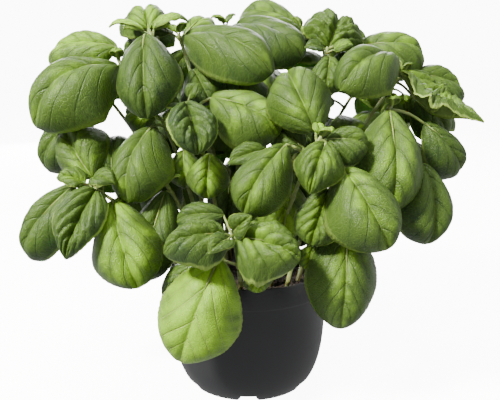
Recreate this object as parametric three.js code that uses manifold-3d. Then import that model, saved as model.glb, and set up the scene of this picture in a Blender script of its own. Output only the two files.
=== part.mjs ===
// Potted basil: a nursery pot of soil with a crowd of leafy stems.
// Millimetres, +Z up. The origin is the centre of the pot's base, on the surface that it stands on.
// The plant's front faces -Y.

import * as THREE from 'three';
import { mergeGeometries, mergeVertices } from 'three/addons/utils/BufferGeometryUtils.js';
import Module from 'manifold-3d';

const wasm = await Module();
wasm.setup();

// ---------- Driving dimensions ----------

const POT_HEIGHT = 90;
const RIM_RADIUS = 60; // a 12 cm nursery pot
const RIM_BAND = 15; // height of the thicker band round the top
const BAND_PROUD = 0.6; // how far the band stands out of the wall
const WALL = 1.5;
const FOOT_RADIUS = 45.8; // outer radius of the ring that the pot stands on
const FOOT_RING = 3.8; // width of that ring
const SHOULDER_HEIGHT = 46; // where the straight wall starts to round in
const SHOULDER_RADIUS = 58.6;
const FLOOR_RISE = 3.2; // the floor's underside between the ring and the middle pad
const FLOOR = 2.2; // thickness of the floor
const PAD_RADIUS = 20; // the middle of the base, which also stands on the surface
const NOTCHES = 6; // drainage notches through the foot ring
const NOTCH_WIDTH = 14;
const NOTCH_HEIGHT = 4.2;
const DRAIN_RADIUS = 3.5;
const DRAIN_CIRCLE = 31;
const ROUND_SIDES = 32;

const SOIL_LEVEL = 82;
const SOIL_SWELL = 1.4; // height of the soil's uneven top
const SEAT_GAP = 0.3; // clearance between touching pieces

const STEM_RADIUS = 1.5;
const STEM_FOOT = 62; // how deep the stems reach into the soil
const STEM_SIDES = 5;
const STEM_STEPS = 6;
const PETIOLE_RADIUS = 1;
const PETIOLE_LENGTH = 10;
const PETIOLE_RISE = 6; // a petiole leaves its stem this far below the blade's base
const BLADE_THICKNESS = 1.3; // at the midrib, thinning to the margin

// How a blade is shaped, as fractions of its own length and width
const BOW = 0.13; // rise of the midrib's arch over its chord
const CUP = 0.42; // fall of the margins below the midrib
const PUFF = 0.1; // swell of each half beside the sunken midrib
const BASE_ROUND = 0.5; // exponents of the ovate outline at its base and at its tip
const TIP_ROUND = 0.55;
const OUTLINE_SCALE = 2.068; // makes the outline's widest place 1

// ---------- The plant, as placed in the pot ----------
// A stem has its foot on the soil, its top, and its leaves.
// A placed leaf has the base and the tip of its blade, its width, and the way its upper face looks.
// A pair is two opposite leaves: the height along the stem (0 to 1), the heading of one of them and its
// pitch in degrees, the blade's length and width.
// A stem whose small top leaves are placed by hand grows no tuft of its own.

const leaf = (base, tip, width, face, shape = {}) => ({ base, tip, width, face, ...shape });
const CRINKLED = { cup: 0.2, bow: 0.1 };
const FOLDED = { cup: -0.45, bow: 0.08, puff: 0 };
const CUPPED = { cup: -0.3, bow: 0.06 };
const BOAT = { cup: -0.7, bow: -0.25, puff: 0.05 };
const SHADE = { give: 1 };

const STEMS = [
  {
    name: 'stem_01', foot: [-24, -6], top: [-69, -15, 264], placedTop: true,
    leaves: [
      leaf([-71, -22, 261], [-68, -56, 206], 46, [-0.1, -0.85, 0.5]),
      leaf([-70, -8, 266], [-78, 21, 279], 34, [0, -0.5, 0.85], { bow: 0.2 }),
      leaf([-72, -17, 263], [-95, -22, 269], 13, [0, -0.2, 1], FOLDED),
      leaf([-66, -12, 264], [-42, -5, 273], 17, [0, -0.3, 1], FOLDED),
      leaf([-80, 24, 257], [-66, 54, 279], 36, [0.1, -0.3, 1]),
      leaf([-70, 30, 262], [-104, 40, 256], 28, [0, -0.8, 0.5], SHADE),
    ],
  },
  {
    name: 'stem_02', foot: [-15, 7], top: [-51, 10, 262],
    leaves: [
      leaf([-46, -4, 261], [18, -44, 241], 46, [0.1, -0.7, 0.7], { cup: 0.5 }),
      leaf([-58, 18, 259], [-100, 36, 265], 26, [-0.2, -0.4, 0.9]),
      leaf([-42, -4, 236], [-33, -24, 212], 35, [0, -0.8, 0.5]),
      leaf([-44, 22, 262], [-28, 52, 264], 28, [0, -0.4, 0.9]),
      leaf([-24, 2, 160], [-36, -4, 120], 34, [0, -1, 0.2], SHADE),
      leaf([-16, -8, 145], [0, -30, 106], 38, [0, -1, 0.2], SHADE),
      leaf([-44, 16, 250], [-62, 20, 226], 30, [0, -0.9, 0.4], SHADE),
    ],
  },
  {
    name: 'stem_03', foot: [-34, 4], top: [-95, 5, 244],
    leaves: [
      leaf([-94, -3, 245], [-149, -46, 206], 61, [-0.35, -0.75, 0.55], { cup: 0.5, bow: 0.22 }),
      leaf([-96, 15, 249], [-154, 26, 242], 42, [-0.2, -0.6, 0.8]),
      leaf([-118, 2, 211], [-154, -6, 163], 42, [-0.5, -0.8, 0.3]),
    ],
  },
  {
    name: 'stem_04', foot: [-37, 18], top: [-120, 36, 226],
    leaves: [leaf([-127, 36, 220], [-157, 46, 170], 42, [-0.7, -0.5, 0.4])],
    pairs: [
      [0.97, 75, -10, 42, 32],
    ],
  },
  {
    name: 'stem_05', foot: [-27, -15], top: [-60, -25, 202],
    leaves: [
      leaf([-66, -32, 200], [-82, -66, 153], 45, [-0.35, -0.8, 0.45], { cup: 0.5 }),
      leaf([-64, -8, 206], [-88, 8, 206], 27, [-0.1, -0.9, 0.4]),
      leaf([-56, -8, 166], [-74, -12, 128], 34, [0, -1, 0.2], SHADE),
    ],
  },
  {
    name: 'stem_06', foot: [-14, -16], top: [-42, -38, 216], placedTop: true,
    leaves: [
      leaf([-41, -50, 216], [-31, -73, 187], 33, [0.2, -0.8, 0.6], CUPPED),
      leaf([-25, -36, 219], [21, -53, 194], 46, [0.15, -0.7, 0.7], { cup: 0.5 }),
      leaf([-40, -40, 218], [-34, -42, 229], 11, [0, -0.6, 0.8], FOLDED),
      leaf([-46, -40, 215], [-58, -43, 216], 12, [0, -0.6, 0.8], FOLDED),
      leaf([-47, -27, 182], [-49, -31, 154], 28, [0, -1, 0.3]),
      leaf([-26, -42, 181], [-28, -50, 150], 30, [0, -1, 0.2]),
    ],
  },
  {
    name: 'stem_07', foot: [-40, -11], top: [-107, -48, 160], placedTop: true,
    leaves: [
      leaf([-106, -42, 164], [-129, -22, 198], 42, [-0.35, -0.85, 0.4], { cup: 0.5 }),
      leaf([-100, -60, 159], [-119, -82, 118], 34, [-0.1, -0.9, 0.4], CUPPED),
      leaf([-109, -50, 163], [-128, -53, 169], 19, [0, -0.6, 0.8], FOLDED),
      leaf([-105, -52, 163], [-89, -60, 164], 18, [0, -0.6, 0.8], FOLDED),
      leaf([-98, -61, 155], [-95, -72, 141], 13, [0.1, -0.8, 0.6], FOLDED),
      leaf([-120, -43, 161], [-158, -48, 108], 38, [-0.45, -0.8, 0.4]),
    ],
  },
  {
    name: 'stem_08', foot: [-37, -26], top: [-88, -46, 146],
    leaves: [
      leaf([-94, -54, 153], [-74, -88, 100], 49, [-0.05, -0.85, 0.5]),
      leaf([-94, -38, 160], [-98, -10, 193], 35, [0, -0.9, 0.3]),
    ],
  },
  {
    name: 'stem_09', foot: [-26, -30], top: [-56, -42, 160],
    leaves: [leaf([-55, -46, 157], [-61, -62, 93], 35, [-0.1, -0.95, 0.3])],
  },
  {
    name: 'stem_10', foot: [-4, -42], top: [-9, -95, 137], placedTop: true,
    leaves: [
      leaf([-12, -97, 141], [-51, -111, 135], 35, [-0.1, -0.6, 0.8]),
      leaf([-8, -98, 139], [31, -112, 130], 45, [0.1, -0.65, 0.75]),
      leaf([-18, -94, 124], [-47, -101, 51], 55, [-0.1, -0.95, 0.3]),
      leaf([5, -72, 110], [7, -78, 94], 20, [0, -0.9, 0.4]),
      leaf([-33, -66, 114], [-64, -63, 86], 28, [-0.3, -0.9, 0.3]),
      leaf([-9, -100, 140], [0, -107, 152], 16, [0, -0.8, 0.6], FOLDED),
      leaf([-11, -103, 139], [-23, -115, 134], 15, [0, -0.6, 0.8], FOLDED),
      leaf([-16, -64, 144], [-49, -66, 142], 25, [-0.1, -0.8, 0.6]),
    ],
  },
  {
    name: 'stem_11', foot: [14, -28], top: [46, -76, 197],
    leaves: [
      leaf([46, -82, 193], [35, -106, 166], 32, [-0.1, -0.8, 0.6]),
      leaf([43, -70, 199], [24, -46, 241], 44, [-0.1, -0.85, 0.5]),
      leaf([51, -76, 195], [78, -77, 188], 29, [0.3, -0.7, 0.6]),
      leaf([38, -50, 188], [18, -32, 202], 26, [-0.2, -0.8, 0.5]),
      leaf([26, -72, 190], [-2, -97, 150], 38, [-0.15, -0.85, 0.5]),
      leaf([10, -60, 188], [-15, -68, 186], 16, [-0.2, -0.8, 0.6], FOLDED),
      leaf([56, -27, 184], [91, -20, 192], 36, [0.1, -0.95, 0.25]),
      leaf([24, -38, 164], [26, -44, 116], 38, [0, -1, 0.2]),
    ],
  },
  {
    name: 'stem_12', foot: [18, -6], top: [55, -20, 252], placedTop: true,
    leaves: [
      leaf([57, -12, 252], [66, 6, 275], 47, [0, -0.9, 0.4], CRINKLED),
      leaf([55, -26, 250], [49, -46, 228], 27, [0, -0.8, 0.6], { cup: 0.6 }),
      leaf([52, -23, 249], [39, -27, 252], 13, [0, -0.6, 0.8], FOLDED),
      leaf([58, -23, 249], [71, -27, 251], 13, [0, -0.6, 0.8], FOLDED),
      leaf([76, 8, 251], [134, 19, 246], 44, [0.15, -0.6, 0.8]),
      leaf([66, -2, 250], [76, 8, 222], 30, [0, -0.9, 0.4], SHADE),
    ],
  },
  {
    name: 'stem_13', foot: [-4, 10], top: [-17, 27, 269],
    leaves: [
      leaf([-10, 30, 268], [43, 2, 249], 50, [0.1, -0.6, 0.8]),
      leaf([-4, 32, 265], [29, 26, 258], 24, [0.1, -0.5, 0.9]),
      leaf([-25, 34, 264], [-54, 48, 264], 27, [-0.1, -0.4, 0.9]),
      leaf([-26, 24, 222], [-70, 36, 208], 40, [-0.2, -0.2, 1], SHADE),
      leaf([-14, 14, 240], [0, -12, 207], 42, [0, -0.9, 0.4], SHADE),
      leaf([-12, 14, 152], [-20, 6, 114], 34, [0, -1, 0.2], SHADE),
    ],
  },
  {
    name: 'stem_14', foot: [14, 18], top: [43, 45, 268],
    leaves: [
      leaf([44, 54, 266], [-7, 62, 286], 44, [0, -0.6, 0.8]),
      leaf([54, 44, 264], [92, 32, 258], 38, [0.1, -0.6, 0.8]),
      leaf([46, 56, 260], [56, 94, 262], 36, [0, 0.3, 1], SHADE),
      leaf([34, 32, 232], [71, 36, 225], 36, [0, -0.3, 1], SHADE),
      leaf([35, 14, 238], [46, -2, 200], 34, [0, -0.9, 0.4], SHADE),
      leaf([30, 4, 204], [50, -10, 172], 36, [0.1, -0.9, 0.3], SHADE),
      leaf([34, 8, 172], [42, -4, 134], 36, [0, -1, 0.2], SHADE),
      leaf([36, 12, 136], [42, 4, 100], 32, [0, -1, 0.2], SHADE),
    ],
  },
  {
    name: 'stem_15', foot: [36, -2], top: [109, -10, 233],
    leaves: [
      leaf([108, -14, 236], [159, -36, 209], 46, [0.05, -0.15, 1], BOAT),
      leaf([119, 6, 232], [167, 20, 217], 40, [0.3, -0.6, 0.75]),
      leaf([114, -2, 219], [116, 4, 194], 28, [0.2, -0.9, 0.3]),
      leaf([122, 4, 222], [151, 8, 186], 32, [0.3, -0.9, 0.3], SHADE),
      leaf([101, -23, 243], [60, -61, 224], 43, [-0.1, -0.65, 0.75], { bow: 0.22, cup: 0.5 }),
    ],
  },
  {
    name: 'stem_16', foot: [33, -16], top: [96, -43, 214],
    leaves: [
      leaf([95, -49, 213], [97, -86, 152], 48, [0.1, -0.9, 0.45]),
      leaf([121, -34, 200], [148, -26, 157], 36, [0.6, -0.75, 0.3]),
      leaf([120, -42, 178], [126, -58, 123], 46, [0.4, -0.85, 0.3]),
    ],
  },
  {
    name: 'stem_17', foot: [24, -37], top: [56, -76, 176],
    leaves: [
      leaf([57, -84, 177], [83, -110, 131], 50, [0.15, -0.85, 0.5]),
      leaf([51, -76, 163], [38, -90, 130], 32, [-0.2, -0.9, 0.35], CRINKLED),
      leaf([64, -75, 133], [59, -91, 70], 48, [0.05, -0.95, 0.25]),
      leaf([43, -66, 124], [38, -73, 108], 17, [0, -0.95, 0.3]),
    ],
  },
  {
    name: 'stem_18', foot: [-31, 32], top: [-98, 76, 170],
    pairs: [
      [0.98, 60, -10, 43, 36],
      [0.88, 150, -35, 58, 50],
      [0.7, 60, -25, 58, 50],
    ],
  },
  {
    name: 'stem_19', foot: [-13, 34], top: [-48, 90, 232],
    pairs: [
      [0.98, 15, 0, 41, 34],
      [0.9, 110, -25, 63, 52],
      [0.74, 10, -30, 60, 52],
    ],
  },
  {
    name: 'stem_20', foot: [7, 38], top: [22, 98, 238],
    pairs: [
      [0.98, 190, 0, 41, 34],
      [0.9, 75, -30, 65, 54],
      [0.74, 165, -30, 65, 52],
    ],
  },
  {
    name: 'stem_21', foot: [26, 32], top: [92, 72, 222],
    pairs: [
      [0.98, 110, 0, 41, 34],
      [0.9, 20, -25, 58, 52],
      [0.75, 90, -35, 63, 52],
    ],
  },
  {
    name: 'stem_22', foot: [41, 15], top: [124, 38, 194],
    pairs: [
      [0.98, 15, -5, 39, 32],
      [0.9, 105, -30, 60, 50],
      [0.76, 60, -40, 58, 47],
    ],
  },
  {
    name: 'stem_23', foot: [-5, 44], top: [-10, 112, 158],
    pairs: [
      [0.97, 180, -10, 48, 41],
      [0.9, 90, -40, 54, 45],
    ],
  },
];

const TUFT = [
  { turn: 0, pitch: 30, length: 12, width: 10 },
  { turn: 180, pitch: 48, length: 10, width: 9 },
];
const TUFT_TURN = 137.5; // each stem's tuft is turned by this much from the one before, in degrees

// ---------- Where stems and blades run ----------

const vec = (p) => new THREE.Vector3(p[0], p[1], p[2]);
const UP = new THREE.Vector3(0, 0, 1);

function heading(azimuth, pitch) {
  const a = THREE.MathUtils.degToRad(azimuth);
  const p = THREE.MathUtils.degToRad(pitch);
  return new THREE.Vector3(Math.cos(a) * Math.cos(p), Math.sin(a) * Math.cos(p), Math.sin(p));
}

// A stem leaves the soil nearly upright and leans out towards its top.
function stemCurve(stem, drop = 0) {
  const foot = new THREE.Vector3(stem.foot[0], stem.foot[1], STEM_FOOT - drop);
  const top = vec(stem.top);
  const knee = new THREE.Vector3(
    foot.x + 0.25 * (top.x - foot.x),
    foot.y + 0.25 * (top.y - foot.y),
    foot.z + 0.6 * (top.z - foot.z),
  );
  return new THREE.QuadraticBezierCurve3(foot, knee, top);
}

// The place on a stem from which a petiole reaches a blade's base.
function petioleRoot(curve, base) {
  const below = base.clone().addScaledVector(UP, -PETIOLE_RISE);
  let best = null;
  for (let step = 40; step <= 79; step++) {
    const point = curve.getPoint(step / 80);
    const away = point.distanceTo(below);
    if (best === null || away < best.away) best = { point, away };
  }
  return best.point;
}

// Every blade of one stem: those placed by hand, then its pairs, then the tuft at its top.
function bladesOf(stem, number) {
  const curve = stemCurve(stem);
  const blades = (stem.leaves ?? []).map((item) => ({
    bow: BOW,
    cup: CUP,
    puff: PUFF,
    give: PLACED_GIVE,
    ...item,
    base: vec(item.base),
    tip: vec(item.tip),
    face: vec(item.face),
  }));
  for (const [along, azimuth, pitch, length, width] of stem.pairs ?? []) {
    for (const turn of [0, 180]) {
      const base = curve.getPoint(along).addScaledVector(heading(azimuth + turn, 30), PETIOLE_LENGTH);
      const tip = base.clone().addScaledVector(heading(azimuth + turn, pitch), length);
      const outward = base.clone().add(tip).multiplyScalar(0.5).sub(new THREE.Vector3(0, 0, 110)).normalize();
      const face = outward.addScaledVector(UP, 0.7);
      blades.push({ base, tip, width, face, bow: BOW, cup: CUP, puff: PUFF, give: 1, paired: true });
    }
  }
  for (const small of stem.placedTop ? [] : TUFT) {
    const away = heading(number * TUFT_TURN + small.turn, small.pitch);
    const base = curve.getPoint(1).addScaledVector(away, 1.5);
    const tip = base.clone().addScaledVector(away, small.length);
    const shape = { bow: 0.1, cup: -0.3, puff: PUFF, give: 1, tuft: true };
    blades.push({ base, tip, width: small.width, face: UP.clone(), ...shape });
  }
  for (const blade of blades) {
    blade.root = blade.tuft ? curve.getPoint(0.985) : petioleRoot(curve, blade.base);
    blade.length = blade.base.distanceTo(blade.tip);
    blade.baseShift = new THREE.Vector3();
    blade.tipShift = new THREE.Vector3();
    blade.stem = number;
  }
  return blades;
}

// The blade's own directions: along its chord, across it, and out of its upper face.
function directions(blade) {
  const base = blade.base.clone().add(blade.baseShift);
  const chord = blade.tip.clone().add(blade.tipShift).sub(base).normalize();
  const across = new THREE.Vector3().crossVectors(chord, blade.face).normalize();
  const out = new THREE.Vector3().crossVectors(across, chord);
  return { base, chord, across, out };
}

const outline = (s) => OUTLINE_SCALE * s ** BASE_ROUND * (1 - s) ** TIP_ROUND;

// A place on the blade's middle sheet: s runs from base to tip, u from margin to margin (-1 to 1).
function sheetPoint(blade, frame, s, u) {
  const { base, chord, across, out } = frame;
  const rise = blade.bow * blade.length;
  const slope = (rise * Math.PI * Math.cos(Math.PI * s)) / blade.length;
  const normal = out.clone().addScaledVector(chord, -slope).normalize();
  const half = Math.max(0.5, (blade.width / 2) * outline(s));
  const fall = blade.cup * half * (blade.cup > 0 ? u * u : Math.abs(u));
  const swell = 4 * blade.puff * half * Math.abs(u) * (1 - Math.abs(u));
  const point = base.clone().addScaledVector(chord, s * blade.length);
  point.addScaledVector(out, rise * Math.sin(Math.PI * s));
  point.addScaledVector(across, half * u);
  point.addScaledVector(normal, swell - fall);
  return { point, normal, across };
}

// ---------- Settling the blades so that none runs through another ----------

const MARKS_ALONG = [0.1, 0.3, 0.5, 0.7, 0.9];
const MARKS_ACROSS = [-0.85, -0.42, 0, 0.42, 0.85];
const ROUNDS = 90;
const CLEAR = 3.6; // wanted distance between the middle sheets of two blades
const CLEAR_STEM = 7.5; // wanted distance between a blade's marks and another stem
const STALK_BEADS = [0.2, 0.5, 0.8]; // where along it a petiole is kept clear of blades
const BASE_GIVE = 0.35; // how readily a blade's base moves, compared with its tip
const PLACED_GIVE = 0.3; // how readily a placed blade moves, compared with a paired one
const LARGEST_MOVE = 2; // in one round

function marksOf(blade) {
  const frame = directions(blade);
  const marks = [];
  for (const s of MARKS_ALONG) {
    for (const u of MARKS_ACROSS) {
      const { point, normal, across } = sheetPoint(blade, frame, s, u);
      const lean = blade.cup > 0 ? 2 * blade.cup * u : blade.cup * Math.sign(u);
      marks.push({ s, point, normal: normal.addScaledVector(across, lean).normalize() });
    }
  }
  return marks;
}

const nudge = (blade, s, push) => {
  blade.pull.base.addScaledVector(push, (1 - s) * BASE_GIVE);
  blade.pull.tip.addScaledVector(push, s);
};

// Keeps blade a on the side of blade b that most of it is on.
function part(a, b, sides) {
  const reach = 0.62 * Math.hypot(0.2 * b.length, 0.21 * b.width);
  const found = [];
  for (const mark of a.marks) {
    let near = null;
    for (const other of b.marks) {
      const away = mark.point.distanceToSquared(other.point);
      if (near === null || away < near.away) near = { other, away };
    }
    const height = mark.point.clone().sub(near.other.point).dot(near.other.normal);
    const sideways = near.away - height * height;
    if (sideways < reach * reach && Math.abs(height) < 30) found.push({ mark, other: near.other, height });
  }
  if (found.length === 0) return;
  const key = `${a.number} ${b.number}`;
  if (!sides.has(key)) {
    const sum = found.reduce((total, item) => total + item.height, 0);
    sides.set(key, sum < 0 ? -1 : 1);
  }
  const side = sides.get(key);
  let worst = null;
  for (const item of found) {
    const lack = CLEAR - side * item.height;
    if (worst === null || lack > worst.lack) worst = { lack, ...item };
  }
  if (worst.lack <= 0) return;
  const push = worst.other.normal.clone().multiplyScalar((side * worst.lack) / (a.give + b.give));
  nudge(a, worst.mark.s, push.clone().multiplyScalar(a.give));
  nudge(b, worst.other.s, push.clone().multiplyScalar(-b.give));
}

// The middle line of a blade's petiole, as beads.
function stalkBeads(blade) {
  const reach = blade.base.clone().add(blade.baseShift).sub(blade.root);
  const along = reach.clone().normalize();
  return STALK_BEADS.map((share) => ({ point: blade.root.clone().addScaledVector(reach, share), along }));
}

// Moves a blade sideways off another plant's stem or petiole.
function clearStem(blade, line) {
  const middle = blade.marks[12].point;
  for (const bead of line) {
    if (bead.point.distanceTo(middle) > blade.length) continue;
    for (const mark of blade.marks) {
      const away = mark.point.distanceTo(bead.point);
      if (away > CLEAR_STEM) continue;
      const off = middle.clone().sub(bead.point);
      off.addScaledVector(bead.along, -off.dot(bead.along)).normalize();
      nudge(blade, 0.5, off.multiplyScalar(0.5 * (CLEAR_STEM - away)));
    }
  }
}

// Keeps a blade outside the pot and off the soil.
function clearPot(blade) {
  for (const mark of blade.marks) {
    const reach = Math.hypot(mark.point.x, mark.point.y);
    const lack = RIM_RADIUS + 4 - reach;
    if (mark.point.z > POT_HEIGHT + 4 || lack < 0) continue;
    const away = new THREE.Vector3(mark.point.x / reach, mark.point.y / reach, 0.5);
    nudge(blade, mark.s, away.multiplyScalar(0.2 * lack));
  }
}

function settle(blades, stems) {
  blades.forEach((blade, number) => {
    blade.number = number;
  });
  const beads = stems.map((stem) => {
    const curve = stemCurve(stem);
    return Array.from({ length: 31 }, (_, i) => ({
      point: curve.getPoint(i / 30),
      along: curve.getTangent(i / 30),
    }));
  });
  const pairs = [];
  for (const a of blades) {
    for (const b of blades) {
      const gap = a.base.clone().add(a.tip).sub(b.base).sub(b.tip).length() / 2;
      const tuftPair = a.stem === b.stem && (a.tuft || b.tuft);
      if (a !== b && !tuftPair && gap < (a.length + b.length) / 2 + 25) pairs.push([a, b]);
    }
  }
  const sides = new Map();
  for (let round = 0; round < ROUNDS; round++) {
    for (const blade of blades) {
      blade.marks = marksOf(blade);
      blade.pull = { base: new THREE.Vector3(), tip: new THREE.Vector3() };
    }
    for (const [a, b] of pairs) part(a, b, sides);
    const stalks = blades.map(stalkBeads);
    for (const blade of blades) {
      beads.forEach((line, number) => {
        if (number !== blade.stem) clearStem(blade, line);
      });
      stalks.forEach((line, number) => {
        if (blades[number].stem !== blade.stem) clearStem(blade, line);
      });
      clearPot(blade);
      blade.baseShift.add(blade.pull.base.clampLength(0, LARGEST_MOVE));
      blade.tipShift.add(blade.pull.tip.clampLength(0, LARGEST_MOVE));
    }
  }
}

// ---------- Solids ----------

function toManifold(geometry) {
  for (const name of Object.keys(geometry.attributes)) {
    if (name !== 'position') geometry.deleteAttribute(name);
  }
  const merged = mergeVertices(geometry, 1e-4);
  const mesh = new wasm.Mesh({
    numProp: 3,
    vertProperties: new Float32Array(merged.attributes.position.array),
    triVerts: new Uint32Array(merged.index.array),
  });
  return new wasm.Manifold(mesh);
}

function toGeometry(solid) {
  const mesh = solid.getMesh();
  const geometry = new THREE.BufferGeometry();
  geometry.setAttribute('position', new THREE.BufferAttribute(mesh.vertProperties, 3));
  geometry.setIndex(new THREE.BufferAttribute(mesh.triVerts, 1));
  geometry.computeVertexNormals();
  return geometry;
}

// Blade and petiole in one: an upper and a lower sheet, alike in their triangles, that meet at the margin.
function bladeSolid(blade) {
  const small = blade.length < 22;
  const big = blade.length > 44 && !blade.paired;
  const rows = small ? [-2, -1, 0.1, 0.55, 1] : [-2, -1, 0.05, 0.38, 0.78, 1];
  if (big) rows.splice(3, 2, 0.3, 0.66, 0.92);
  if (blade.tuft) rows.shift();
  const columns = small ? 2 : 4;
  const frame = directions(blade);
  const first = sheetPoint(blade, frame, 0.03, 0).point;
  const reach = first.clone().sub(blade.root);
  const stalk = reach.clone().normalize();
  const stalkUp = new THREE.Vector3().crossVectors(frame.across, stalk).normalize();
  const stalkSide = new THREE.Vector3().crossVectors(stalk, stalkUp);
  const sheets = [1, -1].map((face) => {
    const sheet = new THREE.PlaneGeometry(2, rows.length - 1, columns, rows.length - 1);
    const position = sheet.attributes.position;
    for (let i = 0; i < position.count; i++) {
      const u = position.getX(i);
      const row = Math.round((rows.length - 1) / 2 - position.getY(i));
      const s = rows[row];
      const place = new THREE.Vector3();
      if (s < 0) {
        const thick = row === 0 ? 0 : face * PETIOLE_RADIUS * Math.sqrt(1 - u * u);
        place.copy(blade.root).addScaledVector(stalk, s === -2 ? 0 : STEM_RADIUS * 0.8);
        place.addScaledVector(stalkSide, u * PETIOLE_RADIUS).addScaledVector(stalkUp, thick);
      } else {
        const { point, normal } = sheetPoint(blade, frame, s, u);
        const thick = s === 1 ? 0 : face * (BLADE_THICKNESS / 2) * (1 - u * u);
        place.copy(point).addScaledVector(normal, thick);
      }
      position.setXYZ(i, place.x, place.y, place.z);
    }
    if (face > 0) {
      const index = sheet.index;
      for (let i = 0; i < index.count; i += 3) {
        const keep = index.getX(i);
        index.setX(i, index.getX(i + 1));
        index.setX(i + 1, keep);
      }
    }
    return sheet;
  });
  return toManifold(mergeGeometries(sheets));
}

function stemTube(stem, radius, drop = 0) {
  const ring = [];
  for (let i = 0; i < STEM_SIDES; i++) {
    const angle = (i * 2 * Math.PI) / STEM_SIDES;
    ring.push(new THREE.Vector2(radius * Math.cos(angle), radius * Math.sin(angle)));
  }
  const tube = new THREE.ExtrudeGeometry(new THREE.Shape(ring), {
    steps: STEM_STEPS,
    extrudePath: stemCurve(stem, drop),
  });
  return toManifold(tube);
}

// One leafy stem as one body: what does not hold to it is dropped, and sealed hollows are filled.
function leafyStem(stem, blades) {
  const pieces = [stemTube(stem, STEM_RADIUS), ...blades.map(bladeSolid)];
  const bodies = wasm.Manifold.union(pieces).decompose();
  bodies.sort((a, b) => b.volume() - a.volume());
  return bodies[0].simplify(0.3);
}

function lathe(profile) {
  const turned = new THREE.LatheGeometry(profile, ROUND_SIDES);
  turned.rotateX(Math.PI / 2);
  return toManifold(turned);
}

const at = (r, z) => new THREE.Vector2(r, z);

// The wall's rounded lower part, from the foot to the shoulder, set in by a distance.
function shoulderCurve(inset, foot) {
  return new THREE.QuadraticBezierCurve(
    at(FOOT_RADIUS - inset, foot),
    at(SHOULDER_RADIUS - 1.2 - inset, foot + 13),
    at(SHOULDER_RADIUS - inset, SHOULDER_HEIGHT),
  ).getPoints(4);
}

// The pot's hollow from its floor up, set in by a distance: the wall's inner side or the soil's outer side.
function hollowProfile(inset, level) {
  const dish = FLOOR + inset;
  const floor = FLOOR_RISE + FLOOR + inset;
  return [
    at(0, dish),
    at(PAD_RADIUS - 2 - inset, dish),
    at(PAD_RADIUS + 1.5 - inset, floor),
    ...shoulderCurve(WALL + inset, floor),
    at(RIM_RADIUS - BAND_PROUD - WALL - inset, level),
  ];
}

function makePot() {
  const band = POT_HEIGHT - RIM_BAND;
  const outside = [
    at(0, 0),
    at(PAD_RADIUS, 0),
    at(PAD_RADIUS + 2.5, FLOOR_RISE),
    at(FOOT_RADIUS - FOOT_RING - 1, FLOOR_RISE),
    at(FOOT_RADIUS - FOOT_RING, 0),
    ...shoulderCurve(0, 0),
    at(RIM_RADIUS - BAND_PROUD, band - BAND_PROUD),
    at(RIM_RADIUS, band),
    at(RIM_RADIUS, POT_HEIGHT - 0.6),
    at(RIM_RADIUS - 0.6, POT_HEIGHT),
    at(RIM_RADIUS - BAND_PROUD - WALL + 0.5, POT_HEIGHT),
  ];
  const inside = hollowProfile(0, POT_HEIGHT - 0.5).reverse();
  let pot = lathe([...outside, ...inside]);
  const notchShape = new THREE.Shape([
    at(-NOTCH_WIDTH / 2, -1),
    at(NOTCH_WIDTH / 2, -1),
    at(NOTCH_WIDTH / 2, 0),
    at(NOTCH_WIDTH / 2 - 2, NOTCH_HEIGHT),
    at(2 - NOTCH_WIDTH / 2, NOTCH_HEIGHT),
    at(-NOTCH_WIDTH / 2, 0),
  ]);
  for (let i = 0; i < NOTCHES; i++) {
    const turn = (i * 2 * Math.PI) / NOTCHES;
    const notch = new THREE.ExtrudeGeometry(notchShape, { depth: 14, bevelEnabled: false });
    notch.rotateX(Math.PI / 2);
    notch.translate(0, -FOOT_RADIUS + FOOT_RING + 3, 0);
    notch.rotateZ(turn);
    pot = pot.subtract(toManifold(notch));
    const drain = new THREE.CylinderGeometry(DRAIN_RADIUS, DRAIN_RADIUS, 12, 8);
    drain.rotateX(Math.PI / 2);
    drain.translate(0, -DRAIN_CIRCLE, FLOOR_RISE);
    drain.rotateZ(turn + Math.PI / NOTCHES);
    pot = pot.subtract(toManifold(drain));
  }
  return pot;
}

function makeSoil(stems) {
  const profile = hollowProfile(SEAT_GAP, SOIL_LEVEL);
  const edge = profile.at(-1).x;
  for (const share of [0.8, 0.55, 0.3]) profile.push(at(edge * share, SOIL_LEVEL + SOIL_SWELL));
  profile.push(at(0, SOIL_LEVEL + SOIL_SWELL));
  const turned = new THREE.LatheGeometry(profile, ROUND_SIDES);
  turned.rotateX(Math.PI / 2);
  const position = turned.attributes.position;
  for (let i = 0; i < position.count; i++) {
    if (position.getZ(i) < SOIL_LEVEL + 0.5) continue;
    const wave = Math.sin(0.19 * position.getX(i)) * Math.cos(0.16 * position.getY(i));
    position.setZ(i, position.getZ(i) + SOIL_SWELL * wave);
  }
  let soil = toManifold(turned);
  for (const stem of stems) soil = soil.subtract(stemTube(stem, STEM_RADIUS + 0.4, 0.5));
  return soil;
}

// ---------- The whole object ----------

const plant = new THREE.Group();

function add(name, solid, color, roughness) {
  const material = new THREE.MeshStandardMaterial({ color, roughness, metalness: 0 });
  const mesh = new THREE.Mesh(toGeometry(solid), material);
  mesh.name = name;
  plant.add(mesh);
}

const foliage = STEMS.map(bladesOf);
settle(foliage.flat(), STEMS);
add('pot', makePot(), 0x2a2b2d, 0.6);
add('soil', makeSoil(STEMS), 0x1d1713, 1);
STEMS.forEach((stem, number) => {
  add(stem.name, leafyStem(stem, foliage[number]), 0x6f9440, 0.55);
});

export default plant;
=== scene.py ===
import math

import bmesh
import bpy
import numpy as np
from mathutils import Matrix, Vector, noise


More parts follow.
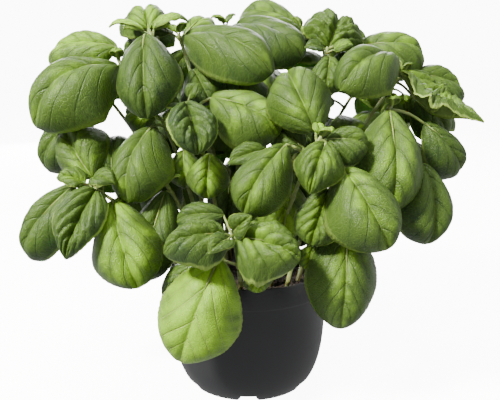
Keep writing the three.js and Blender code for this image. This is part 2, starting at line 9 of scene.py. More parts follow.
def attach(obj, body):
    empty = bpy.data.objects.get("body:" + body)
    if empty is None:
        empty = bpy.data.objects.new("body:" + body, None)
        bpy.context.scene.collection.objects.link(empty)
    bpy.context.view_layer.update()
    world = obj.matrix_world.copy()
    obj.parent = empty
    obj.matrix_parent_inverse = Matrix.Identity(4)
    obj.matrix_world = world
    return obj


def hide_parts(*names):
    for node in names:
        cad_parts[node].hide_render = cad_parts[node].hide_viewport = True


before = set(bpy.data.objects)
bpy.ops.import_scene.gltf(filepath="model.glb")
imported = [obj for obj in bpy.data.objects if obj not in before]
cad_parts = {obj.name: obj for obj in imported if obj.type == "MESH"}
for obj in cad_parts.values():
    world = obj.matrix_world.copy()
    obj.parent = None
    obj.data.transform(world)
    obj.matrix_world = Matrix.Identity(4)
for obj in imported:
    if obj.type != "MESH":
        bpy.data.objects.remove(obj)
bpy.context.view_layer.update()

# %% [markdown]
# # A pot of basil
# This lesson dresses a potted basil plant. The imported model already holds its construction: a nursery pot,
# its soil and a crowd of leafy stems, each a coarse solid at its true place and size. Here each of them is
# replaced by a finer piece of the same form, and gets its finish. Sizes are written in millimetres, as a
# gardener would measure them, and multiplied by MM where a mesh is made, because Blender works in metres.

MM = 0.001

# %% [markdown]
# ## The camera
# The photograph looks slightly down on the plant, from half a metre in front of it. The camera is placed
# first, so that every piece after it can be judged through it. Its lens comes from the focal length in
# pixels of the 500 pixel wide picture, and the sensor is 36 mm wide, Blender's own default.

# %% Camera
CAMERA_PLACE = (1.3, -500, 248)
CAMERA_PITCH = 12.2  # degrees below level
FOCAL_PIXELS = 680
PICTURE_WIDTH = 500
SENSOR_WIDTH = 36

camera_data = bpy.data.cameras.new("camera")
camera_data.sensor_width = SENSOR_WIDTH
camera_data.lens = FOCAL_PIXELS * SENSOR_WIDTH / PICTURE_WIDTH
camera_data.clip_start = 0.01
camera = bpy.data.objects.new("camera", camera_data)
camera.location = Vector(CAMERA_PLACE) * MM
camera.rotation_euler = (math.radians(90 - CAMERA_PITCH), 0, 0)
bpy.context.scene.collection.objects.link(camera)
bpy.context.scene.camera = camera
print("lens", round(camera_data.lens, 1), "mm")

# %% [markdown]
# ## The plant, as a list
# A basil stem carries its leaves on short petioles. Here each stem has its foot on the soil, its top, and
# its leaves. A leaf has the base and the tip of its blade, its width, and the way its upper face looks. A
# pair is two opposite leaves, as basil grows them: the height along the stem, the heading of one leaf and
# its pitch in degrees, the blade's length and width. Most stems end in two tiny leaves that come by a rule;
# one with placed_top has them in its list. The same list shapes the solids in the imported model, so every
# leaf here falls where its solid is.
#
# The kinds of leaf differ in form: bow is the arch along the midrib, puff the swell of each half, and cup how
# far the margins fall away. A leaf with a negative cup is folded up along its midrib. Give is how readily a
# leaf moves aside for its neighbours. The finish is new here: smaller values of base_round and tip_round
# make that end of a blade blunter, pillow puffs its halves up more or lets them sink, and crinkle goes from 0
# on a smooth leaf to 1 and past it on a folded young one. Tone goes from -1 for an old dark leaf to 1 for a
# fresh yellow-green one. A shade leaf sits deep inside the plant, and its darker tone is painted shade.

# %% Kinds of leaf
CRINKLED = {"cup": 0.2, "bow": 0.1, "crinkle": 1.0}
FOLDED = {"cup": -0.45, "bow": 0.08, "puff": 0, "crinkle": 0.6, "tip_round": 0.8}
CUPPED = {"cup": -0.3, "bow": 0.06, "crinkle": 1.3, "tone": -0.5, "base_round": 0.6, "tip_round": 0.6}
BOAT = {"cup": -0.7, "bow": -0.25, "puff": 0.05, "crinkle": 2.2, "tone": 0, "tip_round": 0.95}
# painted shade: a shade leaf deep inside the plant gets a darker tone
SHADE = {"give": 1.0, "tone": -0.5}


def leaf(base, tip, width, face, shape=None, **more):
    return {"base": base, "tip": tip, "width": width, "face": face, **(shape or {}), **more}


# %% Stems on the left
left_stems = [
    {
        "name": "stem_01", "foot": (-24, -6), "top": (-69, -15, 264), "placed_top": True,
        "leaves": [
            leaf(
                (-71, -22, 261), (-68, -56, 206), 46, (-0.1, -0.85, 0.5),
                crinkle=0.3, tip_round=0.6, tone=-0.3,
            ),
            leaf((-70, -8, 266), (-78, 21, 279), 34, (0, -0.5, 0.85), bow=0.2, crinkle=0.3, tone=0.2),
            leaf((-72, -17, 263), (-95, -22, 269), 13, (0, -0.2, 1), FOLDED, tone=0.7),
            leaf((-66, -12, 264), (-42, -5, 273), 17, (0, -0.3, 1), FOLDED, tone=0.7),
            leaf((-80, 24, 257), (-66, 54, 279), 36, (0.1, -0.3, 1), tone=-0.3),
            leaf((-70, 30, 262), (-104, 40, 256), 28, (0, -0.8, 0.5), SHADE),
        ],
    },
    {
        "name": "stem_02", "foot": (-15, 7), "top": (-51, 10, 262),
        "leaves": [
            leaf((-46, -4, 261), (18, -44, 241), 46, (0.1, -0.7, 0.7), cup=0.5, tone=0.1),
            leaf((-58, 18, 259), (-100, 36, 265), 26, (-0.2, -0.4, 0.9)),
            leaf((-42, -4, 236), (-33, -24, 212), 35, (0, -0.8, 0.5)),
            leaf((-44, 22, 262), (-28, 52, 264), 28, (0, -0.4, 0.9)),
            leaf((-24, 2, 160), (-36, -4, 120), 34, (0, -1, 0.2), SHADE),
            leaf((-16, -8, 145), (0, -30, 106), 38, (0, -1, 0.2), SHADE),
            leaf((-44, 16, 250), (-62, 20, 226), 30, (0, -0.9, 0.4), SHADE),
        ],
    },
    {
        "name": "stem_03", "foot": (-34, 4), "top": (-95, 5, 244),
        "leaves": [
            leaf((-94, -3, 245), (-149, -46, 206), 61, (-0.35, -0.75, 0.55), cup=0.5, bow=0.22, tone=-0.1),
            leaf((-96, 15, 249), (-154, 26, 242), 42, (-0.2, -0.6, 0.8), tone=-0.1),
            leaf((-118, 2, 211), (-154, -6, 163), 42, (-0.5, -0.8, 0.3)),
        ],
    },
    {
        "name": "stem_04", "foot": (-37, 18), "top": (-120, 36, 226),
        "leaves": [leaf((-127, 36, 220), (-157, 46, 170), 42, (-0.7, -0.5, 0.4))],
        "pairs": [
            (0.97, 75, -10, 42, 32),
        ],
    },
    {
        "name": "stem_05", "foot": (-27, -15), "top": (-60, -25, 202),
        "leaves": [
            leaf((-66, -32, 200), (-82, -66, 153), 45, (-0.35, -0.8, 0.45), cup=0.5, tone=-0.1),
            leaf((-64, -8, 206), (-88, 8, 206), 27, (-0.1, -0.9, 0.4)),
            leaf((-56, -8, 166), (-74, -12, 128), 34, (0, -1, 0.2), SHADE),
        ],
    },
    {
        "name": "stem_06", "foot": (-14, -16), "top": (-42, -38, 216), "placed_top": True,
        "leaves": [
            leaf((-41, -50, 216), (-31, -73, 187), 33, (0.2, -0.8, 0.6), CUPPED),
            leaf((-25, -36, 219), (21, -53, 194), 46, (0.15, -0.7, 0.7), cup=0.5),
            leaf((-40, -40, 218), (-34, -42, 229), 11, (0, -0.6, 0.8), FOLDED),
            leaf((-46, -40, 215), (-58, -43, 216), 12, (0, -0.6, 0.8), FOLDED),
            leaf((-47, -27, 182), (-49, -31, 154), 28, (0, -1, 0.3)),
            leaf((-26, -42, 181), (-28, -50, 150), 30, (0, -1, 0.2)),
        ],
    },
    {
        "name": "stem_07", "foot": (-40, -11), "top": (-107, -48, 160), "placed_top": True,
        "leaves": [
            leaf((-106, -42, 164), (-129, -22, 198), 42, (-0.35, -0.85, 0.4), cup=0.5, tone=-0.2),
            leaf((-100, -60, 159), (-119, -82, 118), 34, (-0.1, -0.9, 0.4), CUPPED, tip_round=0.85),
            leaf((-109, -50, 163), (-128, -53, 169), 19, (0, -0.6, 0.8), FOLDED),
            leaf((-105, -52, 163), (-89, -60, 164), 18, (0, -0.6, 0.8), FOLDED),
            leaf((-98, -61, 155), (-95, -72, 141), 13, (0.1, -0.8, 0.6), FOLDED),
            leaf((-120, -43, 161), (-158, -48, 108), 38, (-0.45, -0.8, 0.4)),
        ],
    },
    {
        "name": "stem_08", "foot": (-37, -26), "top": (-88, -46, 146),
        "leaves": [
            leaf((-94, -54, 153), (-74, -88, 100), 49, (-0.05, -0.85, 0.5), tone=0.9),
            leaf((-94, -38, 160), (-98, -10, 193), 35, (0, -0.9, 0.3)),
        ],
    },
    {
        "name": "stem_09", "foot": (-26, -30), "top": (-56, -42, 160),
        "leaves": [leaf((-55, -46, 157), (-61, -62, 93), 35, (-0.1, -0.95, 0.3))],
    },
]
print(len(left_stems), "stems on the left")

# %% Stems in the middle
middle_stems = [
    {
        "name": "stem_10", "foot": (-4, -42), "top": (-9, -95, 137), "placed_top": True,
        "leaves": [
            leaf(
                (-12, -97, 141), (-51, -111, 135), 35, (-0.1, -0.6, 0.8),
                crinkle=0.8, tone=-0.3, base_round=0.4, tip_round=0.6,
            ),
            leaf(
                (-8, -98, 139), (31, -112, 130), 45, (0.1, -0.65, 0.75),
                crinkle=1.4, tone=-0.3, base_round=0.4, tip_round=0.6,
            ),
            leaf(
                (-18, -94, 124), (-47, -101, 51), 55, (-0.1, -0.95, 0.3),
                crinkle=0.1, tone=0.9, base_round=0.62, pillow=-0.6,
            ),
            leaf((5, -72, 110), (7, -78, 94), 20, (0, -0.9, 0.4), tone=0.3),
            leaf((-33, -66, 114), (-64, -63, 86), 28, (-0.3, -0.9, 0.3)),
            leaf((-9, -100, 140), (0, -107, 152), 16, (0, -0.8, 0.6), FOLDED, base_round=0.35),
            leaf((-11, -103, 139), (-23, -115, 134), 15, (0, -0.6, 0.8), FOLDED, base_round=0.35),
            leaf((-16, -64, 144), (-49, -66, 142), 25, (-0.1, -0.8, 0.6), tone=-0.5),
        ],
    },
    {
        "name": "stem_11", "foot": (14, -28), "top": (46, -76, 197),
        "leaves": [
            leaf((46, -82, 193), (35, -106, 166), 32, (-0.1, -0.8, 0.6), crinkle=0.7, tip_round=0.8),
            leaf((43, -70, 199), (24, -46, 241), 44, (-0.1, -0.85, 0.5), crinkle=0.3, tone=0.2),
            leaf((51, -76, 195), (78, -77, 188), 29, (0.3, -0.7, 0.6), crinkle=0.5),
            leaf((38, -50, 188), (18, -32, 202), 26, (-0.2, -0.8, 0.5)),
            leaf((26, -72, 190), (-2, -97, 150), 38, (-0.15, -0.85, 0.5), tone=-0.25, base_round=0.6),
            leaf((10, -60, 188), (-15, -68, 186), 16, (-0.2, -0.8, 0.6), FOLDED),
            leaf((56, -27, 184), (91, -20, 192), 36, (0.1, -0.95, 0.25)),
            leaf((24, -38, 164), (26, -44, 116), 38, (0, -1, 0.2)),
        ],
    },
    {
        "name": "stem_12", "foot": (18, -6), "top": (55, -20, 252), "placed_top": True,
        "leaves": [
            leaf((57, -12, 252), (66, 6, 275), 47, (0, -0.9, 0.4), CRINKLED, crinkle=1.7, tone=-0.4),
            leaf((55, -26, 250), (49, -46, 228), 27, (0, -0.8, 0.6), cup=0.6, crinkle=0.7, tone=-0.4),
            leaf((52, -23, 249), (39, -27, 252), 13, (0, -0.6, 0.8), FOLDED),
            leaf((58, -23, 249), (71, -27, 251), 13, (0, -0.6, 0.8), FOLDED),
            leaf((76, 8, 251), (134, 19, 246), 44, (0.15, -0.6, 0.8)),
            leaf((66, -2, 250), (76, 8, 222), 30, (0, -0.9, 0.4), SHADE),
        ],
    },
    {
        "name": "stem_13", "foot": (-4, 10), "top": (-17, 27, 269),
        "leaves": [
            leaf((-10, 30, 268), (43, 2, 249), 50, (0.1, -0.6, 0.8), tone=-0.4),
            leaf((-4, 32, 265), (29, 26, 258), 24, (0.1, -0.5, 0.9)),
            leaf((-25, 34, 264), (-54, 48, 264), 27, (-0.1, -0.4, 0.9)),
            leaf((-26, 24, 222), (-70, 36, 208), 40, (-0.2, -0.2, 1), SHADE),
            leaf((-14, 14, 240), (0, -12, 207), 42, (0, -0.9, 0.4), SHADE),
            leaf((-12, 14, 152), (-20, 6, 114), 34, (0, -1, 0.2), SHADE),
        ],
    },
    {
        "name": "stem_14", "foot": (14, 18), "top": (43, 45, 268),
        "leaves": [
            leaf((44, 54, 266), (-7, 62, 286), 44, (0, -0.6, 0.8), tone=-0.2),
            leaf((54, 44, 264), (92, 32, 258), 38, (0.1, -0.6, 0.8)),
            leaf((46, 56, 260), (56, 94, 262), 36, (0, 0.3, 1), SHADE),
            leaf((34, 32, 232), (71, 36, 225), 36, (0, -0.3, 1), SHADE),
            leaf((35, 14, 238), (46, -2, 200), 34, (0, -0.9, 0.4), SHADE),
            leaf((30, 4, 204), (50, -10, 172), 36, (0.1, -0.9, 0.3), SHADE),
            leaf((34, 8, 172), (42, -4, 134), 36, (0, -1, 0.2), SHADE),
            leaf((36, 12, 136), (42, 4, 100), 32, (0, -1, 0.2), SHADE),
        ],
    },
]
print(len(middle_stems), "stems in the middle")

# %% Stems on the right
right_stems = [
    {
        "name": "stem_15", "foot": (36, -2), "top": (109, -10, 233),
        "leaves": [
            leaf((108, -14, 236), (159, -36, 209), 46, (0.05, -0.15, 1), BOAT),
            leaf((119, 6, 232), (167, 20, 217), 40, (0.3, -0.6, 0.75)),
            leaf((114, -2, 219), (116, 4, 194), 28, (0.2, -0.9, 0.3)),
            leaf((122, 4, 222), (151, 8, 186), 32, (0.3, -0.9, 0.3), SHADE),
            leaf((101, -23, 243), (60, -61, 224), 43, (-0.1, -0.65, 0.75), bow=0.22, cup=0.5),
        ],
    },
    {
        "name": "stem_16", "foot": (33, -16), "top": (96, -43, 214),
        "leaves": [
            leaf((95, -49, 213), (97, -86, 152), 48, (0.1, -0.9, 0.45), tip_round=0.45),
            leaf((121, -34, 200), (148, -26, 157), 36, (0.6, -0.75, 0.3)),
            leaf((120, -42, 178), (126, -58, 123), 46, (0.4, -0.85, 0.3), tone=-0.1),
        ],
    },
    {
        "name": "stem_17", "foot": (24, -37), "top": (56, -76, 176),
        "leaves": [
            leaf((57, -84, 177), (83, -110, 131), 50, (0.15, -0.85, 0.5), tone=-0.2),
            leaf((51, -76, 163), (38, -90, 130), 32, (-0.2, -0.9, 0.35), CRINKLED),
            leaf(
                (64, -75, 133), (59, -91, 70), 48, (0.05, -0.95, 0.25),
                base_round=0.36, pillow=-0.5, tone=0.1,
            ),
            leaf((43, -66, 124), (38, -73, 108), 17, (0, -0.95, 0.3)),
        ],
    },
]
print(len(right_stems), "stems on the right")

# %% [markdown]
# The photograph doesn't show the back of the plant. Basil is as full there as in front, and its leaves grow
# in opposite pairs, each pair turned about a quarter from the last, so these stems need only the pairs.

# %% Stems at the back
back_stems = [
    {
        "name": "stem_18", "foot": (-31, 32), "top": (-98, 76, 170),
        "pairs": [
            (0.98, 60, -10, 43, 36),
            (0.88, 150, -35, 58, 50),
            (0.7, 60, -25, 58, 50),
        ],
    },
    {
        "name": "stem_19", "foot": (-13, 34), "top": (-48, 90, 232),
        "pairs": [
            (0.98, 15, 0, 41, 34),
            (0.9, 110, -25, 63, 52),
            (0.74, 10, -30, 60, 52),
        ],
    },
    {
        "name": "stem_20", "foot": (7, 38), "top": (22, 98, 238),
        "pairs": [
            (0.98, 190, 0, 41, 34),
            (0.9, 75, -30, 65, 54),
            (0.74, 165, -30, 65, 52),
        ],
    },
    {
        "name": "stem_21", "foot": (26, 32), "top": (92, 72, 222),
        "pairs": [
            (0.98, 110, 0, 41, 34),
            (0.9, 20, -25, 58, 52),
            (0.75, 90, -35, 63, 52),
        ],
    },
    {
        "name": "stem_22", "foot": (41, 15), "top": (124, 38, 194),
        "pairs": [
            (0.98, 15, -5, 39, 32),
            (0.9, 105, -30, 60, 50),
            (0.76, 60, -40, 58, 47),
        ],
    },
    {
        "name": "stem_23", "foot": (-5, 44), "top": (-10, 112, 158),
        "pairs": [
            (0.97, 180, -10, 48, 41),
            (0.9, 90, -40, 54, 45),
        ],
    },
]
STEMS = left_stems + middle_stems + right_stems + back_stems
print(len(STEMS), "stems in all")

# %% [markdown]
# ## Where stems and blades run
# A seedling leaves the soil nearly upright and leans out towards its top, so each stem follows a quadratic
# Bezier curve whose knee stays close over the foot. A paired or top leaf isn't placed by hand: it grows out
# of its stem at a heading and a pitch.

# %% Stem curves
STEM_FOOT = 62  # mm up, which is 20 mm under the soil's surface and stands in for roots
KNEE = (0.25, 0.25, 0.6)  # the knee's share of the way from foot to top
STEM_PLACES = 80  # a petiole leaves the upper half of its stem at one of these
PETIOLE_RISE = 6


def unit(vectors):
    return vectors / np.linalg.norm(vectors, axis=-1, keepdims=True)


def stem_ends(stem):
    foot = np.array((*stem["foot"], STEM_FOOT), float)
    top = np.array(stem["top"], float)
    return foot, foot + (top - foot) * KNEE, top


def stem_points(stem, t):
    foot, knee, top = stem_ends(stem)
    t = np.asarray(t, float)[..., None]
    return (1 - t) ** 2 * foot + 2 * (1 - t) * t * knee + t**2 * top


def stem_directions(stem, t):
    foot, knee, top = stem_ends(stem)
    t = np.asarray(t, float)[..., None]
    return unit((1 - t) * (knee - foot) + t * (top - knee))


def heading(azimuth, pitch):
    a, p = math.radians(azimuth), math.radians(pitch)
    return np.array((math.cos(a) * math.cos(p), math.sin(a) * math.cos(p), math.sin(p)))


def petiole_root(stem, base):
    """The place on a stem from which a petiole reaches a blade's base."""
    line = stem_points(stem, np.arange(STEM_PLACES // 2, STEM_PLACES) / STEM_PLACES)
    return line[np.argmin(np.linalg.norm(line - base + (0, 0, PETIOLE_RISE), axis=1))]


print("tops from", min(stem["top"][2] for stem in STEMS), "to", max(stem["top"][2] for stem in STEMS), "mm")

# %% Every blade of the plant
PETIOLE_LENGTH, PETIOLE_PITCH = 10, 30
OUTWARD_FROM = (0, 0, 110)  # paired leaves look away from here
SKYWARD = (0, 0, 0.7)  # and up
PLACED_GIVE = 0.3  # how readily a placed blade moves when the leaves settle, compared with a paired one
TUFT = [
    {"turn": 0, "pitch": 30, "length": 12, "width": 10},
    {"turn": 180, "pitch": 48, "length": 10, "width": 9},
]
TUFT_TURN = 137.5  # degrees from one stem's tuft to the next one's
TUFT_FOOT, TUFT_GAP = 0.985, 1.5  # along the stem, and from its end to a small blade
TUFT_SHAPE = {"bow": 0.1, "cup": -0.3, "tuft": True, "crinkle": 0.6, "tone": 0.4, "tip_round": 0.8}
PLAIN = {
    "bow": 0.13, "cup": 0.42, "puff": 0.1, "give": 1, "tuft": False,
    "crinkle": 0.08, "tone": 0, "base_round": 0.56, "tip_round": 0.48, "pillow": 1,
}


def paired_leaf(stem, along, azimuth, pitch, length, width):
    base = stem_points(stem, along) + PETIOLE_LENGTH * heading(azimuth, PETIOLE_PITCH)
    tip = base + length * heading(azimuth, pitch)
    face = unit((base + tip) / 2 - OUTWARD_FROM) + SKYWARD
    return {**PLAIN, "base": base, "tip": tip, "width": width, "face": face}


def tuft_leaf(stem, number, small):
    away = heading(number * TUFT_TURN + small["turn"], small["pitch"])
    base = stem_points(stem, 1) + TUFT_GAP * away
    tip = base + small["length"] * away
    return {**PLAIN, **TUFT_SHAPE, "base": base, "tip": tip, "width": small["width"], "face": (0, 0, 1)}


def blades_of(stem, number):
    blades = [{**PLAIN, "give": PLACED_GIVE, **item} for item in stem.get("leaves", [])]
    for along, azimuth, *sizes in stem.get("pairs", []):
        blades += [paired_leaf(stem, along, azimuth + turn, *sizes) for turn in (0, 180)]
    if not stem.get("placed_top"):
        blades += [tuft_leaf(stem, number, small) for small in TUFT]
    for blade in blades:
        base = np.array(blade["base"], float)
        blade["root"] = stem_points(stem, TUFT_FOOT) if blade["tuft"] else petiole_root(stem, base)
        blade["stem"] = number
    return blades


blades = [blade for number, stem in enumerate(STEMS) for blade in blades_of(stem, number)]
print(len(STEMS), "stems with", len(blades), "blades")

# %% [markdown]
# ## The form of a blade
# A basil blade is ovate, arched along its midrib, with margins that fall away and a swell in each half.
# The form is a formula in two numbers: s runs from base to tip, and u from margin to margin. Numpy works
# it out for many blades and places at once, which keeps the settling below fast.

# %% The middle sheet of a blade
BASE_ROUND, TIP_ROUND = 0.5, 0.55  # of the solids; the finished blades have their own
NARROWEST = 0.5  # mm from the midrib to the margin at a blade's ends


def outline(s, base_round=BASE_ROUND, tip_round=TIP_ROUND):
    """Half the width of an ovate blade, as a share of its widest place."""
    both = base_round + tip_round
    scale = both**both / (base_round**base_round * tip_round**tip_round)
    return scale * s**base_round * (1 - s) ** tip_round


def column(name, chosen):
    """One value for each chosen blade, as a column, so that it combines with a row of places."""
    return np.array([blades[i][name] for i in chosen], float)[:, None]


def form_of(chosen):
    form = {name: column(name, chosen) for name in ("width", "bow", "cup", "puff")}
    for name in ("base", "tip", "face"):
        form[name] = np.array([blades[i][name] for i in chosen], float)
    form["length"] = np.linalg.norm(form["tip"] - form["base"], axis=1)[:, None]
    return form


def directions(form, base_shift, tip_shift):
    """Each blade's base, and its directions along, across and out of its face."""
    base = form["base"] + base_shift
    chord = unit(form["tip"] + tip_shift - base)
    across = unit(np.cross(chord, form["face"]))
    return base, chord, across, np.cross(across, chord)


def sheet(form, placed, s, u, shares=None):
    """Points and normals of the middle sheets, for places s and u given as rows."""
    base, chord, across, out = (direction[:, None, :] for direction in placed)
    rise = form["bow"] * form["length"]
    slope = math.pi * form["bow"] * np.cos(math.pi * s)
    normal = unit(out - slope[..., None] * chord)
    half = np.maximum(NARROWEST, form["width"] / 2 * (outline(s) if shares is None else shares))
    side = np.abs(u)
    fall = form["cup"] * half * np.where(form["cup"] > 0, side * side, side)
    swell = 4 * form["puff"] * half * side * (1 - side)
    point = base + chord * (form["length"] * s)[..., None] + out * (rise * np.sin(math.pi * s))[..., None]
    point = point + across * (half * u)[..., None] + normal * (swell - fall)[..., None]
    return point, normal, half


print("a blade is widest at", round(BASE_ROUND / (BASE_ROUND + TIP_ROUND), 2), "of its length")

# %% [markdown]
# ## Settling the leaves
# In a crowded pot no leaf runs through another: they push each other aside. A cloth simulation with 155
# blades would be slow and would lose the arrangement, so the blades stay stiff and only their bases and
# tips are moved, a little in each of 90 rounds, until 25 marks on each blade keep clear of every other
# blade, of the other plants' stems and petioles, and of the pot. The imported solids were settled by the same
# rules.

# %% Rules of the settling
ROUNDS = 90
CLEAR, CLEAR_STEM, CLEAR_POT = 3.6, 7.5, 4  # mm from a blade's marks to other blades, stems and the pot
RIM_RADIUS, POT_HEIGHT = 60, 90
BASE_GIVE = 0.35  # how readily a blade's base moves, compared with its tip
LARGEST_MOVE = 2  # mm in one round
STEM_BEADS = 31
STALK_BEADS = np.array((0.2, 0.5, 0.8))  # places along a petiole that others keep clear of
MARKS_S = np.repeat((0.1, 0.3, 0.5, 0.7, 0.9), 5)
MARKS_U = np.tile((-0.85, -0.42, 0, 0.42, 0.85), 5)
MIDDLE_MARK = 12
MARK_STEP = (0.2, 0.21)  # between neighbouring marks, as shares of the blade's length and width
MARK_REACH = 0.62  # how far round a mark the blade counts as found, as a share of that step
NEAR, FAR_ASIDE = 25, 30  # mm between blades: near enough to look at, and too far to matter
STEM_PUSH, POT_PUSH, POT_LIFT = 0.5, 0.2, 0.5

every = form_of(range(len(blades)))
give = column("give", range(len(blades)))
owner = np.array([blade["stem"] for blade in blades])
is_tuft = np.array([blade["tuft"] for blade in blades])
roots = np.array([blade["root"] for blade in blades])


def neighbours():
    """Ordered pairs of blades that are near enough to touch."""
    middle = (every["base"] + every["tip"]) / 2
    gap = np.linalg.norm(middle[:, None] - middle[None], axis=2)
    near = gap < (every["length"] + every["length"].T) / 2 + NEAR
    same_top = (owner[:, None] == owner[None]) & (is_tuft[:, None] | is_tuft[None])
    return np.nonzero(near & ~same_top & ~np.eye(len(blades), dtype=bool))


first, second = neighbours()
reach_of = MARK_REACH * np.hypot(MARK_STEP[0] * every["length"], MARK_STEP[1] * every["width"])[:, 0]
print(len(first), "pairs of neighbours")

# %% One round
class Pull:
    """What a round adds up for each blade before it moves."""

    def __init__(self):
        self.base = np.zeros((len(blades), 3))
        self.tip = np.zeros((len(blades), 3))

    def nudge(self, which, s, push):
        np.add.at(self.base, which, (1 - s)[:, None] * BASE_GIVE * push)
        np.add.at(self.tip, which, s[:, None] * push)


def part_blades(marks, normals, sides, pull):
    """Keeps each blade on the side of its neighbour that most of it is on."""
    away = ((marks[first][:, :, None] - marks[second][:, None]) ** 2).sum(axis=3)
    nearest = away.argmin(axis=2)
    rows = np.arange(len(first))
    point = marks[second][rows[:, None], nearest]
    normal = normals[second][rows[:, None], nearest]
    height = ((marks[first] - point) * normal).sum(axis=2)
    sideways = away.min(axis=2) - height**2
    found = (sideways < reach_of[second][:, None] ** 2) & (np.abs(height) < FAR_ASIDE)
    total = np.where(found, height, 0).sum(axis=1)
    new = found.any(axis=1) & (sides == 0)
    sides[new] = np.where(total[new] < 0, -1, 1)
    lack = np.where(found, CLEAR - sides[:, None] * height, -np.inf)
    worst = lack.argmax(axis=1)
    push_pairs = np.nonzero(lack.max(axis=1) > 0)[0]
    a, b, mark = first[push_pairs], second[push_pairs], worst[push_pairs]
    size = sides[push_pairs] * lack[push_pairs, mark] / (give[a] + give[b])[:, 0]
    push = normal[push_pairs, mark] * size[:, None]
    pull.nudge(a, MARKS_S[mark], push * give[a])
    pull.nudge(b, MARKS_S[nearest[push_pairs, mark]], -push * give[b])


def clear_stems(marks, beads, bead_ways, bead_owner, pull):
    """Moves blades sideways off another plant's stem or petiole."""
    middle = marks[:, MIDDLE_MARK]
    to_middle = middle[:, None] - beads[None]
    near = (np.linalg.norm(to_middle, axis=2) <= every["length"]) & (owner[:, None] != bead_owner[None])
    blade, bead = np.nonzero(near)
    away = np.linalg.norm(marks[blade] - beads[bead][:, None], axis=2)
    pair, mark = np.nonzero(away <= CLEAR_STEM)
    way = bead_ways[bead[pair]]
    off = to_middle[blade[pair], bead[pair]]
    off = unit(off - (off * way).sum(axis=1)[:, None] * way)
    push = off * (STEM_PUSH * (CLEAR_STEM - away[pair, mark]))[:, None]
    pull.nudge(blade[pair], np.full(len(pair), 0.5), push)


def clear_pot(marks, pull):
    """Moves blades outwards and up off the pot."""
    reach = np.hypot(marks[..., 0], marks[..., 1])
    lack = RIM_RADIUS + CLEAR_POT - reach
    blade, mark = np.nonzero((marks[..., 2] <= POT_HEIGHT + CLEAR_POT) & (lack >= 0))
    outward = marks[blade, mark, :2] / reach[blade, mark][:, None]
    push = np.column_stack((outward, np.full(len(blade), POT_LIFT)))
    push = push * (POT_PUSH * lack[blade, mark])[:, None]
    pull.nudge(blade, MARKS_S[mark], push)


# %% The settled plant
def shorten(pulls):
    """Keeps a round's moves small, so that the leaves slide aside and don't jump through each other."""
    size = np.linalg.norm(pulls, axis=1, keepdims=True)
    return pulls * np.minimum(1, LARGEST_MOVE / np.maximum(size, 1e-9))


def settle():
    base_shift, tip_shift = np.zeros((2, len(blades), 3))
    sides = np.zeros(len(first))
    steps = np.arange(STEM_BEADS) / (STEM_BEADS - 1)
    stem_beads = np.concatenate([stem_points(stem, steps) for stem in STEMS])
    stem_ways = np.concatenate([stem_directions(stem, steps) for stem in STEMS])
    bead_owner = np.concatenate(
        (np.repeat(np.arange(len(STEMS)), STEM_BEADS), np.repeat(owner, len(STALK_BEADS)))
    )
    for _ in range(ROUNDS):
        placed = directions(every, base_shift, tip_shift)
        marks, normals, _half = sheet(every, placed, MARKS_S, MARKS_U)
        lean = np.where(every["cup"] > 0, 2 * every["cup"] * MARKS_U, every["cup"] * np.sign(MARKS_U))
        normals = unit(normals + placed[2][:, None] * lean[..., None])
        pull = Pull()
        part_blades(marks, normals, sides, pull)
        reach = placed[0] - roots
        stalks = roots[:, None] + reach[:, None] * STALK_BEADS[:, None]
        beads = np.concatenate((stem_beads, stalks.reshape(-1, 3)))
        ways = np.concatenate((stem_ways, np.repeat(unit(reach), len(STALK_BEADS), axis=0)))
        clear_stems(marks, beads, ways, bead_owner, pull)
        clear_pot(marks, pull)
        base_shift += shorten(pull.base)
        tip_shift += shorten(pull.tip)
    return base_shift, tip_shift


base_shift, tip_shift = settle()
print("largest move", round(np.linalg.norm(tip_shift, axis=1).max(), 1), "mm")

# %% [markdown]
# ## Relief of a blade
# What makes basil look like basil is its relief: a sunken midrib, four or five pairs of sunken side veins
# that arch towards the tip, and the green between them puffed up like a quilt. Young leaves are crinkled
# all over. A bump map would vanish at the silhouette and under grazing light, so these forms are in the
# mesh. The side veins are the lines where a phase, which grows along the blade and falls off towards the
# margins, is a whole number.

# %% Where the side veins run
VEINS = 4.3  # side veins in each half, counted along the midrib
VEIN_REACH = 0.6  # how far towards the tip a side vein has come when it meets the margin
VEIN_ARCH = 1.15  # above 1, so that a side vein bends towards the tip
STRAY_ALONG, STRAY_ACROSS = 0.14, 0.1  # how far a side vein strays, as shares of their spacing


def vein_phase(s, u, draw):
    """Whole numbers are side veins. Their spacing varies a little, and the two halves aren't mirrored."""
    along = STRAY_ALONG * np.sin(9 * s + 20 * draw["wave"])
    stray = along + STRAY_ACROSS * np.sin(5 * u + 20 * draw["phase"])
    return VEINS * (s - VEIN_REACH * np.abs(u) ** VEIN_ARCH) + stray + np.where(u < 0, draw["phase"], 0)


starts = [round(k / VEINS, 2) for k in range(1, int(VEINS) + 1)]
print("side veins leave the midrib at", starts, "of its length")

# %% Quilting, puckers and crinkle
FULL_RELIEF_WIDTH = 36  # mm; a narrower blade has a shallower relief
QUILT, CRINKLED_QUILT = 0.65, 2.0  # mm between side veins, on a smooth leaf and added by a full crinkle
QUILT_LEVEL = 0.405  # mm, the quilt's mean height, which is taken off again
MIDRIB_DEPTH, MIDRIB_REACH = 1.3, 1.7
PUCKERS_ACROSS = 8  # puckers between the finest veins, over a blade's width
PUCKER_SIZES = (2, 5.5)  # the smallest and the largest, in mm
PUCKER, CRINKLED_PUCKER = 0.08, 0.25  # height in mm, and a share of its size that a full crinkle adds
MARGIN_WAVE, CRINKLED_WAVE = 0.3, 1.0
SWAY, SWAY_ACROSS, SWAY_ALONG = 1.4, 7, 9  # slow bends of the whole blade: height and the two spacings
EXTRA_PUFF = 0.08  # more swell of each half, as a share of half the width
EDGE_ROLL = 0.36  # how far the margins roll under


